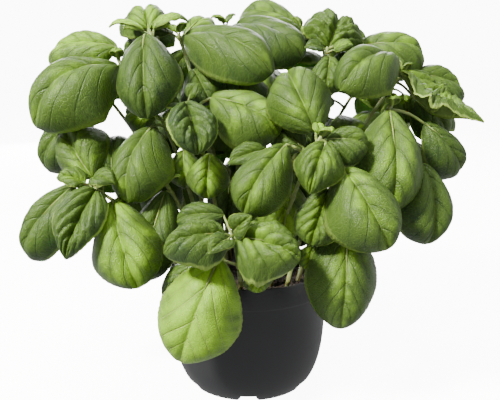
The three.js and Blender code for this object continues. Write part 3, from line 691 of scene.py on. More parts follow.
def pucker(x, y, cell, seed):
    """Small domes with creases between them, 0 in a crease and about 1 on a dome."""

    def dome(place):
        near, next_near = noise.voronoi(Vector(place))[0][:2]
        return min(1, 1.6 * (next_near - near))

    return np.array([dome(place) for place in zip(x / cell, y / cell, np.full(x.shape, 7.3 * seed))])


def relief(blade, draw, s, u, x, y):
    """Height over the plain sheet, in millimetres."""
    side = np.abs(u)
    half = 0.5 * blade["width"]
    size = min(1, blade["width"] / FULL_RELIEF_WIDTH)
    crinkle = blade["crinkle"]
    body = np.sqrt(np.clip(np.sin(math.pi * s), 0, 1))  # fades out at the base and the tip
    phase = vein_phase(s, u, draw) % 1
    between = (4 * phase * (1 - phase)) ** 0.8
    spread = np.clip(side / 0.14, 0, 1) * (1 - 0.7 * side**2)
    quilt = (QUILT + CRINKLED_QUILT * crinkle) * size * between * spread * body
    midrib = -MIDRIB_DEPTH * size * np.exp(-np.abs(x / MIDRIB_REACH) ** 1.5) * (1 - 0.5 * s)
    cell = np.clip(blade["width"] / PUCKERS_ACROSS, *PUCKER_SIZES)
    domes = pucker(x, y, cell, draw["seed"]) * body * np.clip(side / 0.2, 0, 1)
    puckers = (PUCKER + CRINKLED_PUCKER * crinkle * cell) * domes
    swell = 4 * EXTRA_PUFF * blade["pillow"] * half * side * (1 - side) * body
    roll = -EDGE_ROLL * half * side**4 * body
    wave = np.sin(2 * math.pi * (draw["waves"] * s + np.where(u < 0, draw["wave"], 0)))
    margin = (MARGIN_WAVE + CRINKLED_WAVE * crinkle) * size * side**3 * body * wave
    bends = np.sin(x / SWAY_ACROSS + draw["phase"] * 9) * np.cos(y / SWAY_ALONG + draw["wave"] * 9)
    return quilt + midrib + puckers + margin + SWAY * size * bends + swell + roll - QUILT_LEVEL


print("quilt from", QUILT, "mm high on a smooth leaf to", QUILT + CRINKLED_QUILT, "mm on a crinkled one")

# %% [markdown]
# ## A blade and its petiole
# A blade starts as bmesh's grid, whose vertices are moved onto the sheet and lifted by the relief.
# Extruding the whole sheet then gives it a second side with a margin all round, and the two sides are pushed
# apart: thin at the margin, and with a ridge under the midrib, as on the real leaf. Each vertex carries its
# place among the veins, the blade's tone and its crinkle as attributes, because the materials follow them.

# %% Helpers for closed shapes and their attributes
UPPER, UNDER, STALK = range(3)  # material indices
LAYERS = ("phase", "across", "along", "margin", "tone", "seed", "crinkle")


def leaf_layers(bm):
    return {name: bm.verts.layers.float.get(name) or bm.verts.layers.float.new(name) for name in LAYERS}


def face_outwards(bm):
    """Makes the faces agree, and turns them all round if the closed shape is inside out."""
    bmesh.ops.recalc_face_normals(bm, faces=bm.faces)
    if bm.calc_volume(signed=True) < 0:
        bmesh.ops.reverse_faces(bm, faces=bm.faces)


# %% A blade
GRIDS = ((14, (12, 18)), (30, (22, 32)), (math.inf, (36, 54)))  # up to a length: columns and rows
TO_MIDRIB, TO_ENDS = 1.15, 0.06  # how much columns crowd towards the midrib, and rows towards the ends
TIP_DROOP, DROOP_FROM = 0.12, 0.72  # blunt tips curl under, by a share of the length and from this place on
CURL = 0.025  # how far a blade bends sideways, as a share of its length
TOOTH, TOOTH_SPACING = 0.012, 3.2  # a share of the width, and mm along the margin


def grid_for(length):
    return next(grid for longest, grid in GRIDS if length < longest)


def leaf_draw(number):
    """What differs at random from leaf to leaf, the same each time."""
    draw = np.random.default_rng(number)
    return {
        "seed": number,
        "phase": draw.uniform(-0.25, 0.25),
        "wave": draw.uniform(0, 1),
        "waves": draw.uniform(2, 3.4),
        "curl": draw.uniform(-1, 1),
        "tone": draw.normal(0, 0.25),
        "base_round": draw.uniform(-0.04, 0.06),
    }


def blade_mesh(number):
    blade, draw = blades[number], leaf_draw(number)
    form = form_of([number])
    length = form["length"][0, 0]
    columns, rows = grid_for(length)
    bm = bmesh.new()
    layers = leaf_layers(bm)
    bmesh.ops.create_grid(bm, x_segments=columns, y_segments=rows, size=1)
    grid = np.array([vert.co for vert in bm.verts])
    u = np.sign(grid[:, 0]) * np.abs(grid[:, 0]) ** TO_MIDRIB
    s = (grid[:, 1] + 1) / 2
    s = s - TO_ENDS * np.sin(2 * math.pi * s)
    placed = directions(form, base_shift[[number]], tip_shift[[number]])
    shares = outline(s, blade["base_round"] + draw["base_round"], blade["tip_round"])
    point, normal, half = (values[0] for values in sheet(form, placed, s, u, shares))
    x, y = half * u, s * length
    teeth = TOOTH * blade["width"] * np.abs(u) ** 6 * (y / TOOTH_SPACING % 1) * np.clip(8 * (1 - s), 0, 1)
    droop = TIP_DROOP * length * np.clip((s - DROOP_FROM) / (1 - DROOP_FROM), 0, 1) ** 2
    curl = CURL * length * draw["curl"] * np.sin(math.pi * s)
    point = point + normal * (relief(blade, draw, s, u, x, y) - droop)[:, None]
    point = point + placed[2] * (curl + np.sign(u) * teeth)[:, None]
    values = {
        "phase": vein_phase(s, u, draw),
        "across": x,
        "along": y,
        "margin": np.abs(u),
        "tone": np.full(len(s), blade["tone"] + draw["tone"]),
        "seed": np.full(len(s), number),
        "crinkle": np.full(len(s), blade["crinkle"]),
    }
    for index, vert in enumerate(bm.verts):
        vert.co = point[index] * MM
        for name, layer in layers.items():
            vert[layer] = values[name][index]
    thicken(bm, layers)
    return bm


# %% Thickness
LEAF_THICKNESS = 0.5
THIN_MARGIN = 0.5  # of the under side's thickness that is gone at the margin
RIDGE, RIDGE_REACH = 0.55, 1.1  # the midrib's ridge under the blade


def thicken(bm, layers):
    """Makes the sheet a closed blade: the extruded copy is its upper side."""
    bm.normal_update()
    lower = list(bm.faces)
    lifts = [vert.normal * (LEAF_THICKNESS / 2 * MM) for vert in bm.verts]
    sheet_verts = list(bm.verts)
    grown = bmesh.ops.extrude_face_region(bm, geom=lower)["geom"]
    upper = [item for item in grown if isinstance(item, bmesh.types.BMVert)]
    nearest = {tuple(vert.co): lift for vert, lift in zip(sheet_verts, lifts)}
    for vert in upper:
        vert.co += nearest[tuple(vert.co)]
    for vert, lift in zip(sheet_verts, lifts):
        rib = RIDGE * math.exp(-((vert[layers["across"]] / RIDGE_REACH) ** 2))
        vert.co -= lift * (1 - THIN_MARGIN * vert[layers["margin"]] ** 4) + lift.normalized() * rib * MM
    for face in bm.faces:
        face.smooth = True
        face.material_index = UPPER
    for face in lower:
        face.material_index = UNDER
    face_outwards(bm)


first_blade = blade_mesh(0)
closed = all(edge.is_manifold for edge in first_blade.edges)
print("first blade:", len(first_blade.faces), "faces,", "closed" if closed else "open")
first_blade.free()

# %% [markdown]
# ## Petioles and stems
# A petiole is a disc that is extruded ring after ring from the stem to the blade, and on under it, where it
# becomes the midrib's ridge. Basil stems are slightly square and thicken where leaves leave them. A curve
# with a bevel would be quicker to draw, but it can't change its section along the way, and its ends stay
# open where they aren't capped.

# %% A tube along a path
def tube(path, radii, sides, squareness=0.0):
    """A closed tube along points in millimetres, as a bmesh of its own."""
    bm = bmesh.new()
    leaf_layers(bm)
    ways = unit(np.gradient(path, axis=0))
    matrices = []
    turned = Vector(ways[0]).to_track_quat("Z", "Y")
    for index, way in enumerate(ways):
        swing = (turned @ Vector((0, 0, 1))).rotation_difference(Vector(way))
        turned = swing @ turned
        matrices.append(Matrix.Translation(Vector(path[index]) * MM) @ turned.to_matrix().to_4x4())
    disc = bmesh.ops.create_circle(bm, cap_ends=True, segments=sides, radius=MM, matrix=matrices[0])
    ring = disc["verts"]
    shape = [1 + squareness * math.cos(4 * math.tau * i / sides) for i in range(sides)]
    local = [matrices[0].inverted() @ vert.co for vert in ring]
    for index, matrix in enumerate(matrices):
        if index:
            cap = [face for face in bm.faces if all(vert in ring for vert in face.verts)]
            grown = bmesh.ops.extrude_face_region(bm, geom=cap)["geom"]
            copies = {tuple(v.co): v for v in grown if isinstance(v, bmesh.types.BMVert)}
            ring = [copies[tuple(vert.co)] for vert in ring]
        for vert, place, swell in zip(ring, local, shape):
            vert.co = matrix @ (place * radii[index] * swell)
    for face in bm.faces:
        face.smooth = True
        face.material_index = STALK
    face_outwards(bm)
    return bm


# %% A petiole
FULL_SIZE, SMALLEST_SIZE = 40, 0.35  # mm of blade that a full petiole carries, and the slimmest one's share
PETIOLE_RADII = (1.15, 0.95)
PETIOLE_SIDES, PETIOLE_STEPS = 8, 8
PETIOLE_ARCH = 0.08  # of its length
FIXED_RADIUS = 0.45  # the share of a petiole's radius that doesn't follow the blade's size
RIB_END, RIB_RADIUS = 0.42, 0.3  # it runs on under the blade to here, and is this thin there
RIB_DEPTH, RIB_RISE = 1.0, 1.4  # how far under the blade it starts, and how fast it comes up into it


def petiole_mesh(number):
    """From inside the stem to the blade's base, and on under the blade, where it thins out."""
    form = form_of([number])
    placed = directions(form, base_shift[[number]], tip_shift[[number]])
    length = form["length"][0, 0]
    s = np.linspace(0.0, RIB_END, PETIOLE_STEPS)
    point, normal, _half = (values[0] for values in sheet(form, placed, s, np.zeros(len(s))))
    size = np.clip(length / FULL_SIZE, SMALLEST_SIZE, 1)
    under = point - normal * (LEAF_THICKNESS / 2 + RIB_DEPTH * size) + normal * (s * RIB_RISE * size)[:, None]
    reach = under[0] - roots[number]
    arch = np.linalg.norm(reach) * PETIOLE_ARCH
    t = np.linspace(0, 1, PETIOLE_STEPS)[:-1, None]
    stalk = roots[number] + reach * t + np.array((0, 0, arch)) * np.sin(math.pi * t)
    stalk_radii = np.linspace(*PETIOLE_RADII, len(stalk))
    rib_radii = np.linspace(PETIOLE_RADII[1], RIB_RADIUS, len(under))
    radii = np.concatenate((stalk_radii, rib_radii)) * (FIXED_RADIUS + (1 - FIXED_RADIUS) * size)
    return tube(np.concatenate((stalk, under)), radii, PETIOLE_SIDES)


first_petiole = petiole_mesh(0)
print("first petiole:", round(first_petiole.calc_volume() / MM**3), "cubic mm")
first_petiole.free()

# %% A stem with everything that grows on it
STEM_SIDES, STEM_STEPS = 12, 46
STEM_RADIUS, STEM_TAPER = 1.75, 0.6
SQUARENESS = 0.05
JOINT_SWELL, JOINT_LENGTH = 0.3, 0.012


def stem_mesh(stem, number):
    t = np.linspace(0, 1, STEM_STEPS)
    line = stem_points(stem, t)
    joints = {np.argmin(np.linalg.norm(line - root, axis=1)) for root in roots[owner == number]}
    radii = STEM_RADIUS - STEM_TAPER * t
    for joint in sorted(joints):
        radii = radii + JOINT_SWELL * np.exp(-(((t - t[joint]) / JOINT_LENGTH) ** 2))
    return tube(line, radii, STEM_SIDES, SQUARENESS)


def leafy_stem(stem, number):
    whole = bmesh.new()
    leaf_layers(whole)
    pieces = [stem_mesh(stem, number)]
    for i in np.nonzero(owner == number)[0]:
        pieces += [blade_mesh(int(i)), petiole_mesh(int(i))]
    for piece in pieces:
        part = bpy.data.meshes.new("part")
        piece.to_mesh(part)
        piece.free()
        whole.from_mesh(part)
        bpy.data.meshes.remove(part)
    return whole


# %% [markdown]
# ## Materials
# Every finish is a small network of nodes round one Principled shader. A helper adds a node and joins or
# fills its inputs, so that each material below reads as a list of what is mixed into it.

# %% A helper for nodes
def new_material(name):
    material = bpy.data.materials.new(name)
    material.use_nodes = True
    return material, material.node_tree.nodes["Principled BSDF"]


def add(material, kind, inputs=(), **settings):
    """Adds a node; inputs are pairs of a socket's name or number and what goes into it."""
    made = material.node_tree.nodes.new("ShaderNode" + kind)
    for key, value in settings.items():
        setattr(made, key, value)
    join(material, made, inputs)
    return made


def join(material, made, inputs):
    for key, value in inputs:
        if isinstance(value, bpy.types.NodeSocket):
            material.node_tree.links.new(value, made.inputs[key])
        else:
            made.inputs[key].default_value = value


def math_node(material, operation, *values):
    return add(material, "Math", enumerate(values), operation=operation).outputs[0]


def times(material, value, factor):
    return math_node(material, "MULTIPLY", value, factor)


def ramp(material, factor, start, end, low=0.0, high=1.0):
    """A smooth step from low to high while factor goes from start to end."""
    pairs = (("Value", factor), ("From Min", start), ("From Max", end), ("To Min", low), ("To Max", high))
    return add(material, "MapRange", pairs, interpolation_type="SMOOTHSTEP").outputs["Result"]


def mix(material, factor, first_colour, second_colour):
    pairs = ((0, factor), (6, first_colour), (7, second_colour))
    return add(material, "Mix", pairs, data_type="RGBA").outputs[2]


# %% What a pattern reads, and what it ends in
def attribute(material, name):
    return add(material, "Attribute", attribute_name=name).outputs["Fac"]


def object_place(material):
    return add(material, "TexCoord").outputs["Object"]


def height_of(material, place):
    return add(material, "SeparateXYZ", ((0, place),)).outputs["Z"]


def noise_value(material, place, scale, detail):
    pairs = (("Vector", place), ("Scale", scale), ("Detail", detail))
    return add(material, "TexNoise", pairs).outputs["Fac"]


def finish(material, shader, colour, roughness, height, strength, depth):
    """Joins colour, roughness and a bump of some millimetres of depth to the shader."""
    pairs = (("Height", height), ("Strength", strength), ("Distance", depth * MM))
    bump = add(material, "Bump", pairs).outputs[0]
    join(material, shader, (("Base Color", colour), ("Roughness", roughness), ("Normal", bump)))


# %% [markdown]
# ## Leaf green
# The upper side is a soft-glossy green. Its side veins lie in grooves that are darkened as painted shade,
# the hollows beside them carry painted shade too, and on a fresh leaf the veins are paler than the green
# between them. A fine net shows between them, the rim is a thin pale line, and the tone changes from leaf to
# leaf and over each leaf, with painted light beside the midrib and painted shade towards the rolled-under
# margin. A photograph of a leaf could be laid over the blades, but it wouldn't follow their veins. This
# pattern reads the attributes that the blades carry, so it does. The under side is paler and matter.

# %% Greens
DEEP_GREEN = (0.021, 0.041, 0.013, 1)
LEAF_GREEN = (0.045, 0.083, 0.012, 1)
FRESH_GREEN = (0.185, 0.35, 0.016, 1)
VEIN_GREEN = (0.25, 0.36, 0.07, 1)
UNDER_GREEN = (0.13, 0.2, 0.045, 1)
STALK_GREEN = (0.26, 0.33, 0.08, 1)
STALK_BROWN = (0.09, 0.06, 0.02, 1)

# %% Where the midrib, the side veins and the net are
# On the upper side the two wider marks are painted shade: a darker groove on each side vein and a darker
# hollow beside it.
CREASE, FURROW, HOLLOW = 0.07, 0.1, 0.3  # reach of a side vein's marks, as shares of the veins' spacing
NET_SCALE = 0.42  # meshes in a millimetre


def leaf_place(material):
    """A place on the blade in millimetres, with the blade's own number as its third part."""
    parts = [(i, attribute(material, name)) for i, name in enumerate(("across", "along", "seed"))]
    return add(material, "CombineXYZ", parts).outputs[0]


def midrib_mask(material):
    return ramp(material, math_node(material, "ABSOLUTE", attribute(material, "across")), 0.2, 0.8, 1, 0)


def side_vein_mask(material, wide):
    """1 on a side vein and 0 at some share of the spacing beside it, fainter towards the margin."""
    off_vein = math_node(material, "PINGPONG", attribute(material, "phase"), 0.5)
    fade = ramp(material, attribute(material, "margin"), 0.5, 1.0, 1, 0.2)
    return math_node(material, "MULTIPLY", ramp(material, off_vein, 0.01, wide, 1, 0), fade)


def net_mask(material, place):
    pairs = (("Vector", place), ("Scale", NET_SCALE))
    cells = add(material, "TexVoronoi", pairs, feature="DISTANCE_TO_EDGE")
    return ramp(material, cells.outputs["Distance"], 0.02, 0.12, 1, 0)


# %% Colours of the two sides
def upper_colour(material, tone):
    colour = mix(material, ramp(material, tone, -1.0, 0.0), DEEP_GREEN, LEAF_GREEN)
    colour = mix(material, ramp(material, tone, 0.0, 1.2), colour, FRESH_GREEN)
    # painted shade: the groove of each side vein is mixed towards deep green
    furrow_shade = times(material, side_vein_mask(material, FURROW), 0.18)
    colour = mix(material, furrow_shade, colour, DEEP_GREEN)
    fresh = ramp(material, attribute(material, "tone"), 0.2, 1.0, 0.0, 0.5)
    side_veins = times(material, side_vein_mask(material, CREASE), fresh)
    colour = mix(material, side_veins, colour, VEIN_GREEN)
    midrib = times(material, midrib_mask(material), math_node(material, "MULTIPLY_ADD", fresh, 0.7, 0.12))
    colour = mix(material, midrib, colour, VEIN_GREEN)
    pale = ramp(material, attribute(material, "crinkle"), 0.0, 1.0, 0.45, 0.9)
    rim = ramp(material, attribute(material, "margin"), 0.925, 0.975)
    return mix(material, times(material, rim, pale), colour, VEIN_GREEN)


def under_colour(material, tone):
    colour = mix(material, ramp(material, tone, -1.0, 1.0), LEAF_GREEN, UNDER_GREEN)
    veins = math_node(material, "MAXIMUM", midrib_mask(material), side_vein_mask(material, FURROW))
    return mix(material, times(material, veins, 0.7), colour, VEIN_GREEN)


# %% Leaf materials
PATCH_SCALE, PATCH_TONE = 0.09, 1.6  # patches in a millimetre, and how far the tone swings between them
# painted shade: the hollow beside each side vein is darker by this tone
HOLLOW_SHADE = -0.2  # how much darker a side vein's hollow is
NET_COLOUR, NET_HEIGHT, CREASE_HEIGHT = 0.05, -0.35, -0.9
GRAIN_SCALE = 1.6  # grains in a millimetre
UPPER_ROUGH, UNDER_ROUGH, ROUGH_SWING = 0.34, 0.6, 0.05
LEAF_SPECULAR = 0.16
SOFT_LIGHT, SOFT_DEPTH, SOFT_COLOUR = 0.15, 2, (0.6, 1.0, 0.2)  # light that goes in: share, mm, reach


def let_light_in(shader):
    """Leaves and stalks are soft inside: a little light goes in and comes out beside."""
    shader.inputs["Subsurface Weight"].default_value = SOFT_LIGHT
    shader.inputs["Subsurface Scale"].default_value = SOFT_DEPTH * MM


def leaf_material(name, paint, roughness):
    material, shader = new_material(name)
    place = leaf_place(material)
    net = net_mask(material, place)
    patches = noise_value(material, place, PATCH_SCALE, 2)
    tone = math_node(material, "MULTIPLY_ADD", patches, PATCH_TONE, -PATCH_TONE / 2)
    tone = math_node(material, "ADD", tone, attribute(material, "tone"))
    # painted shade in the hollows beside the side veins
    tone = math_node(material, "MULTIPLY_ADD", side_vein_mask(material, HOLLOW), HOLLOW_SHADE, tone)
    # painted light beside the midrib and painted shade towards the margin, where the blade rolls under
    midrib_light_margin_shade = ramp(material, attribute(material, "margin"), 0.1, 1.0, 0.25, -0.2)
    tone = math_node(material, "ADD", tone, midrib_light_margin_shade)
    colour = mix(material, times(material, net, NET_COLOUR), paint(material, tone), VEIN_GREEN)
    grain = noise_value(material, place, GRAIN_SCALE, 3)
    height = math_node(material, "MULTIPLY_ADD", net, NET_HEIGHT, grain)
    height = math_node(material, "MULTIPLY_ADD", side_vein_mask(material, CREASE), CREASE_HEIGHT, height)
    rough = ramp(material, grain, 0.3, 0.7, roughness - ROUGH_SWING, roughness + ROUGH_SWING)
    finish(material, shader, colour, rough, height, strength=0.8, depth=0.5)
    let_light_in(shader)
    shader.inputs["Subsurface Radius"].default_value = SOFT_COLOUR
    shader.inputs["Specular IOR Level"].default_value = LEAF_SPECULAR
    return material


# %% [markdown]
# Stalks and petioles are paler and yellower than the leaves, and brownish where they leave the soil. They
# carry no veins, so a noise in the object's own space is enough, and the brown fades out with the height.

# %% Stalk material
STALK_FOOT = (0.082, 0.105)  # m, between which the brown of the stalks' feet fades out
STALK_PATCHES, STALK_GRAIN = 90, 1500  # in a metre


def stalk_material():
    material, shader = new_material("basil_stalk")
    where = object_place(material)
    patches = noise_value(material, where, STALK_PATCHES, 3)
    colour = mix(material, patches, LEAF_GREEN, STALK_GREEN)
    foot = ramp(material, height_of(material, where), *STALK_FOOT, 0.7, 0)
    colour = mix(material, foot, colour, STALK_BROWN)
    grain = noise_value(material, where, STALK_GRAIN, 2)
    finish(material, shader, colour, 0.5, grain, strength=0.3, depth=0.2)
    let_light_in(shader)
    return material


leaf_finishes = [
    leaf_material("basil_upper", upper_colour, UPPER_ROUGH),
    leaf_material("basil_under", under_colour, UNDER_ROUGH),
    stalk_material(),
]
print("finishes:", [material.name for material in leaf_finishes])

# %% [markdown]
# ## Dressing the stems
# Each leafy stem becomes one object that takes the place of its coarse solid. It rides on the same body as
# that solid and replaces its node.

# %% The leafy stems
def mesh_object(name, bm, materials):
    mesh = bpy.data.meshes.new(name)
    bm.to_mesh(mesh)
    bm.free()
    for material in materials:
        mesh.materials.append(material)
    made = bpy.data.objects.new(name, mesh)
    bpy.context.scene.collection.objects.link(made)
    return made


def finish_piece(name, bm, materials, node):
    piece = mesh_object(name, bm, materials)
    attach(piece, "root")
    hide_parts(node)
    return piece


triangles = 0
for number, stem in enumerate(STEMS):
    name = stem["name"].replace("stem", "leafy_stem")
    piece = finish_piece(name, leafy_stem(stem, number), leaf_finishes, stem["name"])
    triangles += sum(len(face.vertices) - 2 for face in piece.data.polygons)
print("leafy stems:", triangles, "triangles")

# %% [markdown]
# ## The pot
# The pot is thin, moulded and round, so its section is drawn once and spun. It could be put together
# from cylinders with booleans too, but those leave seams to clean up. A band stands a little proud at the
# rim. Six notches let water out under the foot ring: they are made by lifting the ring's lowest edges, which
# keeps the wall one clean surface. Six drain holes go through the floor.

# %% The pot's section
RIM_BAND, BAND_PROUD, WALL = 15, 0.6, 1.5
FOOT_RADIUS, FOOT_RING = 45.8, 3.8
SHOULDER_HEIGHT, SHOULDER_RADIUS = 46, 58.6
SHOULDER_STEPS, SHOULDER_KNEE = 12, (1.2, 13)  # the curve's knee: in from the shoulder, up from the foot
FLOOR_RISE, FLOOR, PAD_RADIUS = 3.2, 2.2, 20
FLOOR_RINGS = (25, 27.5, 29.25, 31, 32.75, 34.5, 37.5)  # enough of them for round drain holes
POT_STEPS = 180


def shoulder(inset, foot):
    t = np.linspace(0, 1, SHOULDER_STEPS + 1)[:, None]
    start = np.array((FOOT_RADIUS - inset, foot))
    knee = np.array((SHOULDER_RADIUS - SHOULDER_KNEE[0] - inset, foot + SHOULDER_KNEE[1]))
    end = np.array((SHOULDER_RADIUS - inset, SHOULDER_HEIGHT))
    return [tuple(point) for point in (1 - t) ** 2 * start + 2 * t * (1 - t) * knee + t**2 * end]


def pot_section():
    """From the middle of the underside out, up the wall, over the lip and down the inside."""
    band = POT_HEIGHT - RIM_BAND
    lip = RIM_RADIUS - BAND_PROUD - WALL
    outside = [(0, 0), (PAD_RADIUS, 0), (PAD_RADIUS + 2.5, FLOOR_RISE)]
    outside += [(r, FLOOR_RISE) for r in (*FLOOR_RINGS, FOOT_RADIUS - FOOT_RING - 1)]
    outside += [(FOOT_RADIUS - FOOT_RING, 0), (FOOT_RADIUS - FOOT_RING + 0.5, 0), *shoulder(0, 0)]
    wall_end = RIM_RADIUS - BAND_PROUD
    outside += [(SHOULDER_RADIUS + 0.4, 60), (wall_end, band - 1.3), (wall_end + 0.1, band - 1)]
    outside += [(RIM_RADIUS - 0.1, band - 0.3), (RIM_RADIUS, band), (RIM_RADIUS, POT_HEIGHT - 0.7)]
    outside += [(RIM_RADIUS - 0.2, POT_HEIGHT - 0.2), (RIM_RADIUS - 0.7, POT_HEIGHT)]
    inside = [(lip + 0.6, POT_HEIGHT), (lip + 0.15, POT_HEIGHT - 0.15), (lip, POT_HEIGHT - 0.6)]
    inside += list(reversed(shoulder(WALL, FLOOR_RISE + FLOOR)))
    inside += [(r, FLOOR_RISE + FLOOR) for r in reversed((PAD_RADIUS + 1.5, *FLOOR_RINGS))]
    inside += [(PAD_RADIUS - 2, FLOOR), (0, FLOOR)]
    return outside + inside


def spin_section(section, steps):
    """Spins a section of (radius, height) in millimetres and closes its poles."""
    bm = bmesh.new()
    verts = [bm.verts.new((r * MM, 0, z * MM)) for r, z in section]
    edges = [bm.edges.new(pair) for pair in zip(verts, verts[1:])]
    bmesh.ops.spin(
        bm, geom=verts + edges, cent=(0, 0, 0), axis=(0, 0, 1), dvec=(0, 0, 0),
        angle=math.tau, steps=steps, use_merge=True, use_duplicate=False,
    )
    bmesh.ops.remove_doubles(bm, verts=bm.verts, dist=1e-6)
    face_outwards(bm)
    return bm


print("the pot's section has", len(pot_section()), "points")

# %% Notches and drain holes
NOTCHES, NOTCH_WIDTH, NOTCH_HEIGHT, NOTCH_SLANT = 6, 14, 4.2, 2
LIFT_TOP = 4.8  # the lift fades out at this height of the wall
DRAIN_RADIUS, DRAIN_CIRCLE = 3.5, 31
DRAIN_EDGE = 0.3  # faces whose middle is this near outside a hole go too, and the ring closes in on it
FRONT = -math.pi / 2


def on_foot_ring(radius, z):
    inside_wall = z > FLOOR_RISE + 1 and radius < FOOT_RADIUS
    return radius >= FOOT_RADIUS - FOOT_RING - 2 and z <= LIFT_TOP and not inside_wall


def lift_notches(bm):
    for vert in bm.verts:
        radius, z = math.hypot(vert.co.x, vert.co.y) / MM, vert.co.z / MM
        if not on_foot_ring(radius, z):
            continue
        turn = (math.atan2(vert.co.y, vert.co.x) - FRONT) % (math.tau / NOTCHES)
        turn = min(turn, math.tau / NOTCHES - turn)
        beside = (NOTCH_WIDTH / 2 - FOOT_RADIUS * turn) / NOTCH_SLANT
        lift = NOTCH_HEIGHT * min(1, max(0, beside))
        vert.co.z += lift * (1 - z / LIFT_TOP) * MM


def drill_drain(bm, turn):
    """Takes a round patch out of both faces of the floor and bridges the two edges."""
    centre = Vector((DRAIN_CIRCLE * math.cos(turn), DRAIN_CIRCLE * math.sin(turn), 0)) * MM

    def inside(face):
        middle = face.calc_center_median()
        in_floor = middle.z < (FLOOR_RISE + FLOOR + 0.5) * MM
        return in_floor and (middle.xy - centre.xy).length < (DRAIN_RADIUS + DRAIN_EDGE) * MM

    bmesh.ops.delete(bm, geom=[face for face in bm.faces if inside(face)], context="FACES")
    edges = [edge for edge in bm.edges if edge.is_boundary]
    for vert in {vert for edge in edges for vert in edge.verts}:
        away = (vert.co.xy - centre.xy).normalized() * DRAIN_RADIUS * MM
        vert.co.xy = centre.xy + away
    bmesh.ops.bridge_loops(bm, edges=edges)


# %% The pot's mesh
SHARP = math.radians(40)  # edges that turn more than this aren't smoothed over


def pot_mesh():
    bm = spin_section(pot_section(), POT_STEPS)
    lift_notches(bm)
    for index in range(NOTCHES):
        drill_drain(bm, FRONT + (index + 0.5) * math.tau / NOTCHES)
    face_outwards(bm)
    for face in bm.faces:
        face.smooth = True
    for edge in bm.edges:
        edge.smooth = len(edge.link_faces) == 2 and edge.calc_face_angle(0) < SHARP
    return bm


# %% [markdown]
# ## Pot plastic
# Recycled pot plastic is nearly black, with a dull sheen and faint clouds where it was handled. Watering
# leaves a few specks of peat on the rim. One flat colour would look like paint, so a broad noise clouds both
# the colour and the roughness, and a fine one sets the specks.

# %% Pot plastic
POT_BLACK = (0.009, 0.0095, 0.011, 1)
POT_WORN = (0.015, 0.0155, 0.017, 1)
SOIL_DUST = (0.05, 0.038, 0.027, 1)
DUSTY_RIM = (0.078, 0.09)  # m, between which the specks set in
POT_SPECULAR = 0.36
CLOUDS, SPECKS, POT_GRAIN = 28, 160, 2600  # in a metre


def pot_material():
    material, shader = new_material("pot_plastic")
    where = object_place(material)
    clouds = noise_value(material, where, CLOUDS, 4)
    colour = mix(material, ramp(material, clouds, 0.35, 0.75), POT_BLACK, POT_WORN)
    specks = ramp(material, noise_value(material, where, SPECKS, 6), 0.6, 0.72, 0, 0.6)
    near_rim = ramp(material, height_of(material, where), *DUSTY_RIM)
    colour = mix(material, times(material, near_rim, specks), colour, SOIL_DUST)
    rough = ramp(material, clouds, 0.3, 0.7, 0.42, 0.56)
    grain = noise_value(material, where, POT_GRAIN, 2)
    finish(material, shader, colour, rough, grain, strength=0.25, depth=0.1)
    shader.inputs["Specular IOR Level"].default_value = POT_SPECULAR
    return material


pot = finish_piece("nursery_pot", pot_mesh(), [pot_material()], "pot")
print("pot:", len(pot.data.polygons), "faces")

# %% [markdown]
# ## The soil
# Potting peat is a heap of dark crumbs. A particle system could strew them, but it isn't part of a mesh. So
# one spun surface with a displaced top gives the heap, and a few hundred small squashed balls, each with
# only twenty faces, lie half sunk in it.

# %% The heap
SOIL_LEVEL, SOIL_SWELL, SEAT_GAP = 82, 1.4, 0.3
SOIL_EDGE = RIM_RADIUS - BAND_PROUD - WALL - SEAT_GAP
SOIL_STEPS, SOIL_RINGS = 160, 64
SWELL_WAVES = (0.19, 0.16)  # radians in a millimetre, from side to side and from front to back
CLOD_SIZE, CLOD_HEIGHT = 7, 1.3
CRUMB_SIZE, CRUMB_HEIGHT = 2.2, 0.5
SINK = 0.5  # the whole top is this much lower, so that it stays under the rim


def soil_height(x, y):
    wave = SOIL_SWELL * math.sin(SWELL_WAVES[0] * x) * math.cos(SWELL_WAVES[1] * y)
    place = Vector((x, y, 0))
    clods = noise.fractal(place / CLOD_SIZE, 0.8, 2.1, 5) * CLOD_HEIGHT
    crumbs = noise.fractal(place / CRUMB_SIZE, 0.7, 2.0, 3) * CRUMB_HEIGHT
    return SOIL_LEVEL + SOIL_SWELL + wave + (clods + crumbs) - SINK


def soil_section():
    floor = FLOOR_RISE + FLOOR + SEAT_GAP
    rings = [(SOIL_EDGE * share, SOIL_LEVEL) for share in np.linspace(0.985, 0.0, SOIL_RINGS)]
    under = [(0, FLOOR + SEAT_GAP), (PAD_RADIUS - 2.5, FLOOR + SEAT_GAP), (PAD_RADIUS + 1.2, floor)]
    return under + shoulder(WALL + SEAT_GAP, floor) + [(SOIL_EDGE, SOIL_LEVEL - 0.5)] + rings


print("the heap is", round(soil_height(0, 0) - FLOOR), "mm deep in the middle")

# %% Loose crumbs
CRUMBS, CRUMB_SEED = 420, 7
SMALLEST_CRUMB, LARGEST_CRUMB = 0.5, 1.7  # mm in radius
EDGE_CRUMB = 0.7  # crumbs within 4 mm of the wall are smaller by this


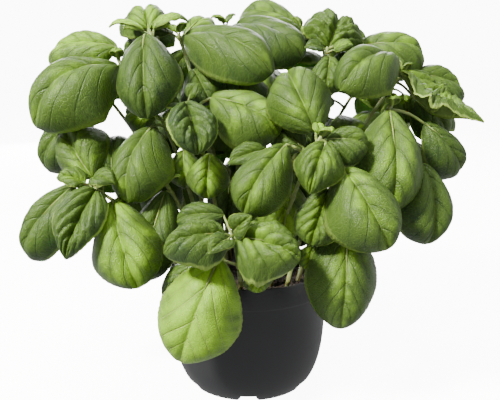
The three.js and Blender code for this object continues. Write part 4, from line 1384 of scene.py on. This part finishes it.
def add_crumb(bm, draw):
    angle, reach = draw.uniform(0, math.tau), SOIL_EDGE * 0.97 * math.sqrt(draw.uniform(0, 1))
    x, y = reach * math.cos(angle), reach * math.sin(angle)
    size = draw.uniform(SMALLEST_CRUMB, LARGEST_CRUMB) * (EDGE_CRUMB if reach > SOIL_EDGE - 4 else 1)
    inwards = min(1, (SOIL_EDGE - LARGEST_CRUMB) / max(reach, 1))
    place = Vector((x * inwards, y * inwards, soil_height(x, y) + 0.2 * size)) * MM
    turn = Matrix.Rotation(draw.uniform(0, math.tau), 4, Vector(draw.normal(size=3)).normalized())
    broad, high = size * draw.uniform(0.6, 1), size * draw.uniform(0.5, 0.8)
    squash = Matrix.Diagonal((size * MM, broad * MM, high * MM, 1))
    placed = Matrix.Translation(place) @ turn @ squash
    made = bmesh.ops.create_icosphere(bm, subdivisions=1, radius=1, matrix=placed)
    for vert in made["verts"]:
        vert.co += (vert.co - place) * draw.uniform(-0.25, 0.25)


def soil_mesh():
    bm = spin_section(soil_section(), SOIL_STEPS)
    for vert in bm.verts:
        if vert.co.z > (SOIL_LEVEL - 0.2) * MM:
            vert.co.z = soil_height(vert.co.x / MM, vert.co.y / MM) * MM
    draw = np.random.default_rng(CRUMB_SEED)
    for _ in range(CRUMBS):
        add_crumb(bm, draw)
    for face in bm.faces:
        face.smooth = True
    return bm


# %% [markdown]
# ## Peat
# Damp peat is nearly black, brown where a clod has dried, and quite dull. A picture of soil would repeat over
# the heap and stretch on the crumbs. A noise colours the clods instead, and with small cells added to it, it
# also gives the bump.

# %% Peat
PEAT_DARK = (0.006, 0.004, 0.003, 1)
PEAT_BROWN = (0.035, 0.019, 0.01, 1)
PEAT_CLODS, PEAT_CELLS = 350, 900  # in a metre
PEAT_ROUGH = 0.95


def peat_material():
    material, shader = new_material("peat")
    where = object_place(material)
    clods = noise_value(material, where, PEAT_CLODS, 6)
    cells = add(material, "TexVoronoi", (("Vector", where), ("Scale", PEAT_CELLS))).outputs["Distance"]
    colour = mix(material, ramp(material, clods, 0.35, 0.7), PEAT_DARK, PEAT_BROWN)
    height = math_node(material, "ADD", clods, cells)
    finish(material, shader, colour, PEAT_ROUGH, height, strength=0.8, depth=0.8)
    return material


soil = finish_piece("peat_soil", soil_mesh(), [peat_material()], "soil")
print("soil:", len(soil.data.polygons), "faces")

# %% [markdown]
# ## Floor, light and background
# The photograph is a studio picture on white, with one strong soft lamp from the upper left. A wide pale
# floor and a pale surround do for the white. The floor glows, because a lit one would be grey where the
# lamps fade out, but it throws no light on the plant, whose inside has to stay dark.

# %% Floor
FLOOR_REACH = 12  # m from the middle to each side
FLOOR_DROP = 0.2  # mm below the pot's base, so that the two faces don't flicker
FLOOR_GLOW, FLOOR_ROUGH = 10, 0.9
WHITE, PALE = (1, 1, 1, 1), (0.85, 0.85, 0.85, 1)


def stage_floor():
    material, shader = new_material("pale_floor")
    join(material, shader, (("Base Color", PALE), ("Roughness", FLOOR_ROUGH)))
    join(material, shader, (("Emission Color", WHITE), ("Emission Strength", FLOOR_GLOW)))
    bm = bmesh.new()
    bmesh.ops.create_grid(bm, x_segments=1, y_segments=1, size=FLOOR_REACH)
    floor = mesh_object("floor", bm, [material])
    floor.location.z = -FLOOR_DROP * MM
    floor.visible_glossy = False
    floor.visible_diffuse = False


stage_floor()
print("floor:", 2 * FLOOR_REACH, "m wide")

# %% [markdown]
# Round lamps with soft edges stand about a metre and a half away. The key light is small enough for clear
# shadows on the leaves, and a little warm. The others only lift the top, the right side and the back, which
# is looked at too when the plant is turned.

# %% Lamps
PLANT_MIDDLE = (0, 0, 0.19)
WARM = (1, 0.98, 0.9)


def soft_lamp(name, place, size, power, colour=WHITE[:3]):
    """A round lamp of some metres and watts that looks at the middle of the plant."""
    data = bpy.data.lights.new(name, "AREA")
    data.shape = "DISK"
    data.size = size
    data.energy = power
    data.color = colour
    lamp = bpy.data.objects.new(name, data)
    lamp.location = place
    lamp.rotation_euler = (Vector(PLANT_MIDDLE) - Vector(place)).to_track_quat("-Z", "Y").to_euler()
    bpy.context.scene.collection.objects.link(lamp)


soft_lamp("key_light", (-0.85, -0.85, 1.2), 0.28, 104, WARM)
soft_lamp("top_light", (-0.1, -0.35, 1.3), 0.4, 9)
soft_lamp("side_light", (1.3, -0.5, 0.5), 0.6, 2)
soft_lamp("back_light", (0.3, 1.3, 1.0), 0.7, 16)
soft_lamp("low_back_light", (-0.5, 1.4, 0.45), 0.8, 20)
print(len(bpy.data.lights), "lamps")

# %% Ceiling and surround
CEILING_POWER, CEILING_SOFTNESS = 0.4, 50  # the second in degrees
CEILING_TILT = (25, -12)
SURROUND_LIGHT, SURROUND_SEEN = 0.85, 11


def ceiling_light():
    """Even soft light from above, slightly in front, that reaches the whole floor."""
    data = bpy.data.lights.new("ceiling_light", "SUN")
    data.angle = math.radians(CEILING_SOFTNESS)
    data.energy = CEILING_POWER
    lamp = bpy.data.objects.new("ceiling_light", data)
    lamp.rotation_euler = (*(math.radians(angle) for angle in CEILING_TILT), 0)
    bpy.context.scene.collection.objects.link(lamp)


def studio_surround():
    """Dim for the light that it gives, so that the inside of the plant stays dark, but pale to look at."""
    world = bpy.data.worlds.new("studio")
    world.use_nodes = True
    nodes, links = world.node_tree.nodes, world.node_tree.links
    seen = nodes.new("ShaderNodeLightPath").outputs["Is Camera Ray"]
    strength = nodes.new("ShaderNodeMapRange")
    links.new(seen, strength.inputs["Value"])
    strength.inputs["To Min"].default_value = SURROUND_LIGHT
    strength.inputs["To Max"].default_value = SURROUND_SEEN
    links.new(strength.outputs[0], nodes["Background"].inputs["Strength"])
    nodes["Background"].inputs["Color"].default_value = WHITE
    bpy.context.scene.world = world


ceiling_light()
studio_surround()
print("surround:", SURROUND_LIGHT, "as light,", SURROUND_SEEN, "as seen")
